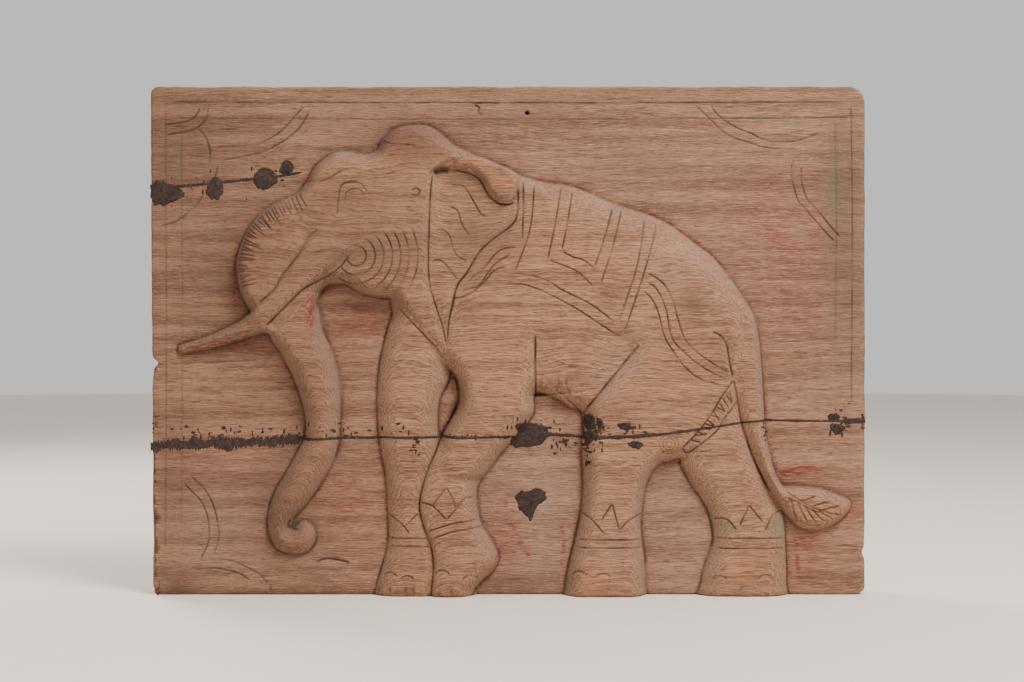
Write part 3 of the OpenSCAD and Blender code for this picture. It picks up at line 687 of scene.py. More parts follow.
def shape_body(c):
    """The folds where the legs meet the belly, the rump and the tail's root."""
    for line in OVERLAPS:
        c.fold(line, 2.4, 5, 9, (0.1, 0.02))
        c.score(line, 2.0, 0.9, 0.9, (0.08, 0.02))
    c.fold([(28, 199), (27, 215), (27, 232), (27, 250), (26, 275)], 5.6, 18, 60, (0, 0.5))
    c.fold([(138, 262), (128, 247), (115, 232), (100, 214), (84, 194), (74, 182)], 6.6, 18, 60,
           (0.3, 0))
    c.fold([(223, 217), (219, 233), (216, 250), (210, 259), (200, 263)], 1.6, 8, 9, (0, 0.3))
    c.fold([(-60, 232), (-56, 222), (-50, 209), (-48, 192), (-57, 173)], 1.6, 10, 10, (0.2, 0.2))
    c.height -= 2.2 * c.spot(-44, 117, 22, 5, -6) * (c.mark["figure"] > 0)
    c.height -= 1.6 * c.spot(-24, 128, 12, 10, 50) * (c.mark["figure"] > 0)
    for side in (-1, 1):
        c.height += 0.7 * c.spot(103 + side * 18, 22, 15, 14) * (c.mark["figure"] > 0)
    for line in BODY_LINES:
        c.score(line, ends=(0.08, 0.08), grime_and_shade=0.74)
    for line in LOW_LINES:
        c.score(line, depth=c.cuts.line_depth * FAINT, grime_and_shade=0.8)
    for line in VEINS:
        c.score(line, 2.0, 1.3, 0.85, (0.05, 0.3))
    for line in RIBS:
        c.score(line, 2.6, 0.7, 0.45, (0.3, 0.3))
    for line in FOLD_LINES:
        c.score(line, 2.4, 1.4, 0.95, (0.02, 0.12))
    for line in STRAP_LINES:
        c.score(line, 2.0, 1.2, 0.9, (0.02, 0.02))
    for share in np.linspace(0.12, 0.92, 13):
        low = np.array([173, 148]) * (1 - share) + np.array([222, 212]) * share
        high = np.array([190, 151]) * (1 - share) + np.array([227, 196]) * share
        lean = np.array([2.0, 3.0]) * np.sin(share * 40)
        c.score([low + (high - low) * 0.15, high - (high - low) * 0.1 + lean], 1.8, 1.1, 0.9,
                curved=False)
    for radius in (3, 6, 9.5):
        c.score(arc((159, 152), radius, 0, 360, 20), 1.4, 0.6, 0.5, (0, 0), curved=False)
    for x, z, half, tall in TOENAILS:
        nail = arc((0, 0), 1, 165, 15, 10) * (half, tall) + (x, z)
        c.score(nail, 1.9, 1.0, 0.7, (0.15, 0.15), curved=False)
        c.height += 0.5 * c.spot(x, z + tall * 0.3, half * 0.8, tall * 0.7)
    c.score([(-217, 76), (-219, 69), (-213, 66), (-205, 68)], 2.2, 2.0, 0.8, (0.02, 0.4))


def cut_ground(c):
    """Scribes the double frame, the corner ornaments, the split at the left and a few short cuts,
    and sinks a short fold in the ground near the bottom.
    """
    for a, b, strength in FRAME_LINES:
        middle = ((a[0] + b[0]) / 2 + 1.2, (a[1] + b[1]) / 2 - 0.8)
        c.score([a, middle, b], 1.7, 0.8 * strength, 0.8 * strength, (0.03, 0.03))
    for line in CORNER_LINES:
        c.score(line, 2.0, 0.9, 0.65, (0.05, 0.05))
    c.score(SPLIT, 1.4, 1.6, 0.8, (0, 0.5))
    c.score([(-37, 491), (-20, 492), (-8, 491)], 1.4, 1.0, 0.9)
    c.score([(-34, 490), (-29, 487), (-30, 482), (-25, 480)], 3.0, 1.4, 0.8)
    c.fold([(-192, 34), (-182, 37), (-170, 36), (-158, 33)], 1.6, 3, 12, (0.2, 0.2))
    c.score([(-192, 33), (-182, 36), (-170, 35), (-158, 32)], 2.4, 1.0, 0.9)


def trench(c):
    """Sinks the ground a little along the figure and gathers soiling and red paint there, with
    painted shade in the crease at the figure's edge.
    """
    figure = c.mark["figure"]
    beside = c.blur(figure, 2.6, 2.6) * (1 - figure)
    wide = c.blur(figure, 7, 7) * (1 - figure)
    c.height -= 1.7 * beside + 0.8 * wide
    # The crease where the figure meets the ground is darkened: soiling and painted shade
    sharp = c.blur(figure, 1.0, 1.0)
    rim = np.clip(sharp * (1 - sharp) * 4, 0, 1)
    c.mark["grime_and_shade"] = np.maximum(c.mark["grime_and_shade"], 0.8 * rim * (0.75 + 0.25 * np.clip(
        c.ripple(31, 12, 6), -1, 1)))
    patchy = np.clip(0.3 + 0.7 * c.ripple(41, 16, 10), 0, 1)
    c.mark["red"] = np.clip(2.0 * c.blur(figure, 2.4, 2.4) * (1 - figure) * patchy, 0, 0.75)


def stain_and_shade(c):
    """Lays the stains, some of them painted shade, the paint left in the ground and the patches
    rubbed bare.
    """
    for name, spots in (("stain_and_shade", STAINS_AND_SHADE), ("green", GREEN_PAINT), ("red", RED_PAINT),
                        ("bare", BARE_WOOD), ("pale", PALE_WOOD)):
        for x, z, rx, rz, strength in spots:
            c.mark[name] = np.maximum(c.mark[name], strength * c.spot(x, z, rx, rz))
    for points, strength in RED_LINES:
        c.trace("red", points, RED_LINE_REACH, strength)


def weather(c):
    """Wears the face: low hollows of the tool, raised grain and drying checks."""
    wear = c.cuts.wear
    figure = c.blur(c.mark["figure"], 3, 3)
    c.height += wear * 0.4 * c.ripple(1, 60, 26) * (1 - 0.4 * figure)
    c.height += wear * 0.2 * c.ripple(2, 16, 8)
    rng = np.random.default_rng(5)
    for _ in range(CHECKS):
        x, z = rng.uniform(-HALF + 10, HALF - 30), rng.uniform(8, HEIGHT - 8)
        length = rng.uniform(14, 60)
        drift = rng.uniform(-1.2, 1.2, 2)
        c.score([(x, z), (x + length / 2, z + drift[0]), (x + length, z + drift[1])],
                rng.uniform(0.9, 1.6), wear * rng.uniform(0.25, 0.7), rng.uniform(0.2, 0.6),
                (0.4, 0.4))


def slopes(c):
    """Marks how steep the carving is, from the height with its fine cuts smoothed away."""
    calm = c.blur(c.height, 1.6, 1.6)
    dz, dx = np.gradient(calm, PITCH_OF_MAP)
    c.mark["slope_and_ridge_light"] = np.clip(np.hypot(dx, dz) / STEEP, 0, 1)


@functools.lru_cache(maxsize=2)
def carving(cuts):
    """The finished map, worked out once for a set of sizes."""
    c = Carving(cuts)
    raise_figure(c)
    shape_head(c)
    comb(c)
    shape_body(c)
    cut_ground(c)
    trench(c)
    stain_and_shade(c)
    weather(c)
    c.height = c.blur(c.height, 0.3, 0.3)
    slopes(c)
    c.height = np.minimum(c.height, MAX_HEIGHT - 0.25)
    c.skin = c.height.copy()
    pocket = np.zeros(c.shape)
    for points in [*DABS, *BLOBS, KNOT]:
        loop = spline(points, closed=True)
        pocket = np.maximum(pocket, c.inside(loop))
    sunk = np.clip(c.blur(pocket, 0.8, 0.8) * 1.6 - 0.6, 0, 1)
    c.height = c.skin - POCKET_DEPTH * sunk
    c.mark["stain_and_shade"] = np.maximum(c.mark["stain_and_shade"], sunk)
    return c


# ---- Meshes ----

def shade_smooth(mesh):
    """Marks every face as smooth."""
    mesh.polygons.foreach_set("use_smooth", np.ones(len(mesh.polygons), bool))


def places(mesh):
    """The places of a mesh's points, in metres."""
    place = np.empty(len(mesh.vertices) * 3)
    mesh.vertices.foreach_get("co", place)
    return place.reshape(-1, 3)


def new_object(name, points, faces):
    """A smooth-shaded object from points in millimetres and a list of faces."""
    mesh = bpy.data.meshes.new(name)
    mesh.from_pydata(np.asarray(points) * MM, [], [tuple(face) for face in faces])
    shade_smooth(mesh)
    mesh.update()
    made = bpy.data.objects.new(name, mesh)
    bpy.context.scene.collection.objects.link(made)
    return made


def quads(index):
    """The faces of a grid of point numbers, turned so that a grid that runs right and up
    faces the front."""
    return np.stack([index[:-1, :-1], index[:-1, 1:], index[1:, 1:], index[1:, :-1]],
                    -1).reshape(-1, 4)


def band(inner, outer):
    """The faces between two closed rings with as many points, the outer one further on."""
    return np.stack([inner, outer, np.roll(outer, -1), np.roll(inner, -1)], -1)


def tube(index):
    """The faces of a grid of point numbers whose rows are closed rings."""
    return np.stack([index[:-1], index[1:], np.roll(index[1:], -1, 1),
                     np.roll(index[:-1], -1, 1)], -1).reshape(-1, 4)


def coons(bottom, right, top, left):
    """A grid across four edges: the two ways of sliding between opposite edges, added, less the
    plane through the corners."""
    u = np.linspace(0, 1, len(bottom))[None, :, None]
    v = np.linspace(0, 1, len(right))[:, None, None]
    across = (1 - v) * bottom[None] + v * top[None]
    along = (1 - u) * left[:, None] + u * right[:, None]
    corners = ((1 - u) * (1 - v) * bottom[0] + u * (1 - v) * bottom[-1]
               + (1 - u) * v * top[0] + u * v * top[-1])
    return across + along - corners


def rim_of(grid):
    """The border of a grid, once round from its lower left corner towards the right."""
    return np.concatenate([grid[0, :-1], grid[:-1, -1], grid[-1, :0:-1], grid[:0:-1, 0]])


def edges_of(loop, nu, nv):
    """A closed border cut back into its four edges, each running right or up."""
    a, b, d = nu - 1, nu + nv - 2, 2 * nu + nv - 3
    return (loop[:a + 1], loop[a:b + 1], loop[b:d + 1][::-1],
            np.concatenate([loop[d:], loop[:1]])[::-1])


def outward(loop):
    """Unit directions out of a closed border that runs anticlockwise."""
    along = np.roll(loop, -1, 0) - np.roll(loop, 1, 0)
    normal = np.column_stack([along[:, 1], -along[:, 0]])
    return normal / np.linalg.norm(normal, axis=1)[:, None]


def wavy(seed, at, length, depth):
    """A worn edge: seeded noise over a length, never above 0."""
    rng = np.random.default_rng(seed)
    knots = np.arange(-60, 820, length)
    return -depth * np.interp(at, knots, rng.random(len(knots)) ** 2)


def corner_drop(t, radius):
    """How far a rounded corner falls away, t past where its arc starts."""
    t = np.clip(t, 0, radius * 0.9999)
    return radius - np.sqrt(radius ** 2 - t ** 2)


def joint_z(x):
    """The joint line's height."""
    line = spline(JOINT)
    return np.interp(x, line[:, 0], line[:, 1])


def long_edge(x, upper):
    """The panel's top or bottom edge, with its rounded corners and wear."""
    left, right = CORNERS[upper, False], CORNERS[upper, True]
    drop = corner_drop(x - (HALF - right), right) + corner_drop(-x - (HALF - left), left)
    worn = wavy(21 if upper else 22, x + HALF, 23, 0.9) + wavy(23, x + HALF, 7, 0.35)
    return HEIGHT - drop + worn if upper else drop - worn * (0.6 + 0.4 * smooth(x / HALF))


def short_edge(z, right):
    """The panel's left or right edge, with its rounded corners, wear and the chip at the left."""
    top, bottom = CORNERS[True, right], CORNERS[False, right]
    drop = corner_drop(z - (HEIGHT - top), top) + corner_drop(bottom - z, bottom)
    worn = wavy(24 if right else 25, z, 19, 0.8) + wavy(26, z + 3, 5, 0.3)
    if right:
        nick = 2.2 * np.exp(-((z - 42) / 5) ** 2)
        return HALF - drop + worn - nick
    chip = 5 * np.exp(-((z - 232) / 3.5) ** 2) + 1.6 * np.exp(-((z - 226) / 12) ** 2)
    return drop - HALF - worn + chip + 2.4 * smooth(1 - z / HEIGHT)


def silhouette(upper, nu, nv):
    """The border of one board as four edges, each running right or up."""
    left, right = (CORNERS[upper, end] * (1 - COS45) for end in (False, True))
    free_x = np.linspace(left - HALF, HALF - right, nu)
    free = np.column_stack([free_x, long_edge(free_x, upper)])
    joint_x = np.linspace(-HALF, HALF, nu)
    sign = 1 if upper else -1
    joint_x[0] = short_edge(joint_z(-HALF), False)
    joint_x[-1] = short_edge(joint_z(HALF), True)
    joint = np.column_stack([joint_x, joint_z(joint_x) + sign * JOINT_GAP])
    low, high = (joint, free) if upper else (free, joint)

    def side(end, right):
        z = np.linspace(low[end, 1], high[end, 1], nv)
        edge = np.column_stack([short_edge(z, right), z])
        edge[0], edge[-1] = low[end], high[end]
        return edge
    return low, side(-1, True), high, side(0, False)


def rounding(upper, nu, nv):
    """How far in and how far back the front edge is rounded, all round a board's border."""
    joint = np.full((nu, 2), (1.0, 0.9))
    free = np.full((nu, 2), (3.0, 2.6) if upper else (6.0, 4.2))
    left, right = np.full((nv, 2), (3.0, 3.0)), np.full((nv, 2), (5.5, 5.0))
    blend = smooth(np.linspace(0, 1, nv) * (nv * GRID / 12))[:, None]
    to_joint = blend if upper else blend[::-1]
    to_free = blend[::-1] if upper else blend
    left = joint[0] + (left - joint[0]) * to_joint
    right = joint[0] + (right - joint[0]) * to_joint
    left = free[0] + (left - free[0]) * to_free
    right = free[-1] + (right - free[-1]) * to_free
    low, high = (joint, free) if upper else (free, joint)
    return np.concatenate([low[:-1], right[:-1], high[:0:-1], left[:0:-1]])


def board_mesh(name, c, upper):
    """A carved board: a front grid at the map's height, rings that round its edge, a band down
    to a coarser border, sides, and a sawn back."""
    mean_height = HEIGHT - joint_z(0) if upper else joint_z(0)
    nu = int(WIDTH / GRID) // COARSE * COARSE + 1
    nv = int(mean_height / GRID) // COARSE * COARSE + 1
    outer = rim_of(coons(*silhouette(upper, nu, nv)))
    size = rounding(upper, nu, nv)
    out = outward(outer)
    inset = outer - out * size[:, :1]
    flat = coons(*edges_of(inset, nu, nv))
    front = -c.sample(c.height, flat[..., 0], flat[..., 1]) + GROUND
    points = [np.dstack([flat[..., 0], front, flat[..., 1]]).reshape(-1, 3)]
    index = np.arange(nu * nv).reshape(nv, nu)
    faces = [quads(index)]
    ring, count = rim_of(index), nu * nv
    depth = rim_of(front)
    for angle in np.radians((18, 36, 54, 72, 90)):
        place = inset + out * size[:, :1] * np.sin(angle)
        back = depth + size[:, 1] * (1 - np.cos(angle))
        points.append(np.column_stack([place[:, 0], back, place[:, 1]]))
        following = count + np.arange(len(outer))
        faces.append(band(ring, following))
        ring, count = following, count + len(outer)
    fine = ring.reshape(-1, COARSE)
    edge, edge_depth = outer[::COARSE], (depth + size[:, 1])[::COARSE]
    shallow = count + np.arange(len(edge))
    fans = np.column_stack([fine[:, 0], shallow, np.roll(shallow, -1), np.roll(fine[:, 0], -1),
                            fine[:, :0:-1]])
    wave = np.random.default_rng(61 + upper)
    coarse_out = out[::COARSE]
    side_end = BACK - (BACK_ROUND + BACK_INSET)
    ring_sizes = []
    for share in (0.05, 0.2, 0.4, 0.6, 0.8, 1.0):
        dent = DENT * wave.random(len(edge)) * np.sin(np.pi * share)
        place = edge - coarse_out * dent[:, None]
        back = edge_depth + (side_end - edge_depth) * share
        ring_sizes.append((place, back))
    for angle in np.radians((30, 60, 90)):
        place = edge - coarse_out * BACK_ROUND * (1 - np.cos(angle))
        ring_sizes.append((place, np.full(len(edge), side_end + BACK_ROUND * np.sin(angle))))
    ring = None
    for place, back in ring_sizes:
        points.append(np.column_stack([place[:, 0], back, place[:, 1]]))
        following = count + np.arange(len(edge))
        if ring is not None:
            faces.append(band(ring, following))
        ring, count = following, count + len(edge)
    nu_back, nv_back = (nu - 1) // COARSE + 1, (nv - 1) // COARSE + 1
    painted_adze_light_and_shade = coons(*edges_of(ring_sizes[-1][0], nu_back, nv_back))
    inner = painted_adze_light_and_shade[1:-1, 1:-1]
    sawn = saw_marks(inner[..., 0], inner[..., 1])
    rear_face = np.dstack([inner[..., 0], BACK - BACK_INSET - sawn, inner[..., 1]])
    points.append(rear_face.reshape(-1, 3))
    rear_index = np.zeros((nv_back, nu_back), int)
    rear_index[1:-1, 1:-1] = count + np.arange(inner[..., 0].size).reshape(inner.shape[:2])
    around = edges_of(ring, nu_back, nv_back)
    rear_index[0], rear_index[:, -1], rear_index[-1], rear_index[:, 0] = around
    faces.append(quads(rear_index)[:, ::-1])
    every = [face for group in faces for face in group.tolist()] + fans.tolist()
    return new_object(name, np.vstack(points), every)


def saw_marks(x, z):
    """The rough back: shallow dished strokes of an adze in rows, |sin| of the place across and
    along a row. The rows are out of step, and the strokes differ in length and depth."""
    across = z / STROKE_ROW + 0.16 * np.sin(x / 60) + 0.1 * np.sin(x / 23)
    row = np.floor(across)
    along = x + 21 * np.sin(row * 2.4) + 34 * np.sin(x / 110 + row * 1.9)
    stroke = np.abs(np.sin(np.pi * (along + 0.25 * z + 5 * np.sin(z / 23)) / STROKE_LENGTH))
    dish = np.abs(np.sin(np.pi * across))
    uneven = 0.62 + 0.38 * np.sin(x / 41 + row * 2.1) * np.sin(z / 27 + x / 131 + row)
    return 0.1 + STROKE_DEPTH * uneven * stroke ** 0.8 * dish ** 0.8


def finished(piece, kind, name, **settings):
    """Puts a modifier on a piece and keeps its result as the mesh."""
    modifier = piece.modifiers.new(name, kind)
    for key, value in settings.items():
        setattr(modifier, key, value)
    seen = piece.evaluated_get(bpy.context.evaluated_depsgraph_get())
    mesh = bpy.data.meshes.new_from_object(seen)
    old = piece.data
    piece.modifiers.clear()
    piece.data = mesh
    mesh.name = piece.name
    bpy.data.meshes.remove(old)


def cylinder(name, start, stop, radius, sides=40):
    """A plain closed cylinder between two points, as a cutter."""
    axis = np.array(stop, float) - start
    axis /= np.linalg.norm(axis)
    u = np.cross(axis, (0.3, 1, 0.2) if abs(axis[1]) < 0.9 else (1, 0, 0))
    u /= np.linalg.norm(u)
    v = np.cross(axis, u)
    angle = np.linspace(0, TURN, sides, endpoint=False)[:, None]
    ring = radius * (np.cos(angle) * u + np.sin(angle) * v)
    low = np.arange(sides)
    faces = [*band(low, low + sides).tolist(), low.tolist(), (low + sides)[::-1].tolist()]
    return new_object(name, np.vstack([ring + start, ring + stop]),
                      [face[::-1] for face in faces])


def bore(board, upper):
    """Drills the dowels' blind bores and, in the upper board, the hole for the wall nail."""
    radius = DOWEL_RADIUS + BORE_PLAY
    reach = DOWEL_LENGTH / 2 + 2
    cutters = []
    for k, x in enumerate(dowel_places()):
        z = joint_z(x)
        cutters.append(cylinder(f"bore_{k}", (x, DOWEL_Y, z - reach), (x, DOWEL_Y, z + reach),
                                radius))
    if upper:
        x, z = NAIL_HOLE
        cutters.append(cylinder("nail", (x, BACK + 5, z), (x, GROUND - 5, z), NAIL_HOLE_RADIUS))
    for cutter in cutters:
        finished(board, "BOOLEAN", "bore", object=cutter, operation="DIFFERENCE", solver="EXACT")
        bpy.data.objects.remove(cutter)


def dowel_places():
    """The dowels' places along the joint, spread evenly between the ends of their box."""
    return np.linspace(DOWEL_LOW[0] + DOWEL_RADIUS, DOWEL_HIGH[0] - DOWEL_RADIUS, DOWEL_COUNT)


def keep_inside(piece):
    """Moves the few points that thinning pushed out of the panel's box back onto it."""
    mesh = piece.data
    place = np.clip(places(mesh), BOX_LO * MM, BOX_HI * MM)
    mesh.vertices.foreach_set("co", place.ravel())
    mesh.update()


def mark_face(piece, c):
    """Reads the map's marks at each point of a board, fading out behind its face, and paints
    the back's adze strokes with a highlight on their ridges and shade in their hollows.
    """
    mesh = piece.data
    x, y, z = (places(mesh) / MM).T
    behind = y - GROUND + c.sample(c.height, x, z)
    face = 1 - smooth((behind - MARK_DEPTH) / MARK_FADE)
    tool = saw_marks(x, z) * smooth((y - BACK + 4) / 1.5)
    # Painted light and shade on the back: the adze strokes' ridges are lightened through the slope
    # mark, their hollows darkened through the stain mark
    painted_adze_light_and_shade = {"slope_and_ridge_light": 0.5 * np.clip(1 - tool / 0.7, 0, 1) * (tool > 0),
            "stain_and_shade": 0.32 * np.clip(tool / 2.2, 0, 1) ** 1.5}
    for name in MARKS:
        values = c.sample(c.mark[name], x, z) * face + painted_adze_light_and_shade.get(name, 0)
        layer = mesh.attributes.new(name, "FLOAT", "POINT")
        layer.data.foreach_set("value", values.astype(np.float32))


# ---- Pitch ----

def bead(seed, line, up, down, c, proud, around=20):
    """A closed bead along a line: across it a half ellipse stands proud of the face and another
    sinks into it, as wide as the two given arrays say."""
    along = np.gradient(line, axis=0)
    normal = np.column_stack([-along[:, 1], along[:, 0]])
    normal /= np.linalg.norm(normal, axis=1)[:, None]
    angle = np.linspace(0, TURN, around, endpoint=False)[None, :]
    width = np.where(np.cos(angle) > 0, up[:, None], down[:, None]) * np.cos(angle)
    x = line[:, :1] + normal[:, :1] * width
    z = line[:, 1:] + normal[:, 1:] * width
    x = np.clip(x, -HALF + PITCH_INSET, HALF - PITCH_INSET)
    rough = np.random.default_rng(seed).uniform(0.6, 1.25, x.shape)
    rise = np.sin(angle)
    lift = np.sign(rise) * np.where(rise > 0, proud * rough, BEAD_SINK) * np.abs(rise) ** 0.6
    y = GROUND - c.sample(c.skin, x, z) - lift
    index = np.arange(x.size).reshape(x.shape)
    faces = [*tube(index).tolist(), index[0].tolist(), index[-1][::-1].tolist()]
    return np.dstack([x, y, z]).reshape(-1, 3), faces


def lump(outline, c, rng, proud, sink, ragged=0.16, count=48):
    """A closed lump of pitch: rings that close from a ragged outline to its middle, in front
    as a low dome and behind as a root in the wood."""
    loop = spline(outline, closed=True, steps=8)[:-1]
    loop = loop[np.linspace(0, len(loop), count, endpoint=False).astype(int)]
    middle = loop.mean(0)
    waves = rng.standard_normal(count)
    waves = 0.5 * waves + 0.6 * np.roll(waves, 1) + 0.5 * np.roll(waves, 2)
    loop = middle + (loop - middle) * (1 + ragged * waves * 0.7)[:, None]
    lean = np.radians(np.array([-75, -50, -25, 0, 20, 42, 62, 78]))
    x = middle[0] + np.cos(lean)[:, None] * (loop[:, 0] - middle[0])
    z = middle[1] + np.cos(lean)[:, None] * (loop[:, 1] - middle[1])
    x = np.clip(x, -HALF + PITCH_INSET, HALF - PITCH_INSET)
    rough = rng.uniform(0.7, 1.2, x.shape)
    rise = np.sin(lean)[:, None]
    lift = np.where(rise > 0, proud * rough * np.abs(rise) ** 0.6, -sink * np.abs(rise) ** 0.6)
    y = GROUND - c.sample(c.skin, x, z) - lift
    points = np.dstack([x, y, z]).reshape(-1, 3)
    skin = float(c.sample(c.skin, middle[:1], middle[1:])[0])
    ends = np.array([[middle[0], GROUND - skin + sink, middle[1]],
                     [middle[0], GROUND - skin - proud, middle[1]]])
    index = np.arange(x.size).reshape(x.shape)
    sides = tube(index)[:, (0, 3, 2, 1)]
    root, crown = x.size, x.size + 1
    first, last = index[0], index[-1]
    faces = [*sides.tolist(),
             *np.column_stack([np.roll(first, -1), first, np.full(count, root)]).tolist(),
             *np.column_stack([last, np.roll(last, -1), np.full(count, crown)]).tolist()]
    return np.vstack([points, ends]), faces


def joined(parts):
    """Several (points, faces) pairs as one."""
    points, faces, start = [], [], 0
    for place, group in parts:
        points.append(place)
        faces.extend([[start + k for k in face] for face in group])
        start += len(place)
    return np.vstack(points), faces


def turned_right(piece):
    """Turns a closed piece's faces outwards."""
    bpy.context.view_layer.objects.active = piece
    bpy.ops.object.mode_set(mode="EDIT")
    bpy.ops.mesh.select_all(action="SELECT")
    bpy.ops.mesh.normals_make_consistent(inside=False)
    bpy.ops.object.mode_set(mode="OBJECT")


def flecks(rng, c, fields, size=(0.5, 1.7)):
    """Small lumps strewn over fields, each (x, z, half width, half height, number)."""
    made = []
    for x, z, rx, rz, number in fields:
        for _ in range(number):
            place = np.array([x + rng.normal(0, rx / 2), z + rng.normal(0, rz / 2)])
            place[0] = np.clip(place[0], -HALF + 3, HALF - 3)
            wide = rng.uniform(*size) * np.array([1.5, 0.8])
            if rng.random() < 0.45:
                wide = wide[::-1] * (0.8, 1.2)
            outline = arc((0, 0), 1, 0, 360, 9)[:-1] * wide + place
            made.append(lump(outline, c, rng, 0.35, 0.5, 0.3, 16))
    return made


# ---- Materials ----

class Value:
    """One socket of a shader. An expression on values adds its Math nodes."""

    def __init__(self, shader, socket):
        self.shader = shader
        self.socket = socket

    def math(self, operation, *others):
        """A Math node on this value and any others."""
        inputs = dict(enumerate((self, *others)))
        return self.shader.node("ShaderNodeMath", {"operation": operation}, inputs)

    def __add__(self, other):
        return self.math("ADD", other)

    def __sub__(self, other):
        return self.math("SUBTRACT", other)

    def __mul__(self, other):
        return self.math("MULTIPLY", other)

    def __rsub__(self, other):
        return (self * -1) + other

    __radd__ = __add__
    __rmul__ = __mul__

    def above(self, low, high):
        """0 below low and 1 above high, with a smooth rise between them."""
        settings = {"interpolation_type": "SMOOTHSTEP"}
        return self.shader.node("ShaderNodeMapRange", settings,
                                {"Value": self, "From Min": low, "From Max": high})


class Shader:
    """A node material: node() adds any node, and the rest are short names for common ones."""

    def __init__(self, name, **constants):
        self.material = bpy.data.materials.new(name)
        self.material.use_nodes = True
        self.tree = self.material.node_tree
        self.surface = self.tree.nodes["Principled BSDF"]
        for key, value in constants.items():
            self.surface.inputs[key.replace("_", " ")].default_value = value
        self.place = self.node("ShaderNodeTexCoord", {}, {}, "Object")

    def node(self, kind, settings, inputs, output=0):
        """Adds a node: its settings first, then each socket's value or link."""
        made = self.tree.nodes.new(kind)
        for key, value in settings.items():
            setattr(made, key, value)
        for key, value in inputs.items():
            if isinstance(value, Value):
                self.tree.links.new(value.socket, made.inputs[key])
            else:
                made.inputs[key].default_value = value
        return Value(self, made.outputs[output])

    def stretched(self, along, deep, up):
        """Object coordinates measured in lengths of a pattern, in millimetres each way."""
        scale = (1 / (along * MM), 1 / (deep * MM), 1 / (up * MM))
        return self.node("ShaderNodeVectorMath", {"operation": "MULTIPLY"},
                         {0: self.place, 1: scale})

    def noise(self, along, deep, up, detail=2.0, roughness=0.5):
        """Noise drawn out to three lengths."""
        return self.node("ShaderNodeTexNoise", {},
                         {"Vector": self.stretched(along, deep, up), "Scale": 1.0,
                          "Detail": detail, "Roughness": roughness})

    def mark(self, name):
        """One of the marks that a board's points carry."""
        return self.node("ShaderNodeAttribute", {"attribute_name": name}, {}, "Fac")

    def mix(self, first, second, share):
        """A colour between two, by a share of the second."""
        return self.node("ShaderNodeMix", {"data_type": "RGBA"}, {0: share, 6: first, 7: second},
                         2)

    def part(self, axis):
        """One of the Object coordinates."""
        return self.node("ShaderNodeSeparateXYZ", {}, {0: self.place}, axis)

    def feed(self, socket, value):
        """Links a value to a socket of the surface."""
        self.tree.links.new(value.socket, self.surface.inputs[socket])

    def bump(self, height, strength, distance):
        """Roughens the surface by a height."""
        self.feed("Normal", self.node("ShaderNodeBump", {}, {
            "Strength": strength, "Distance": distance, "Height": height}))


def colour(red, green, blue):
    """A colour with full alpha."""
    return red, green, blue, 1.0


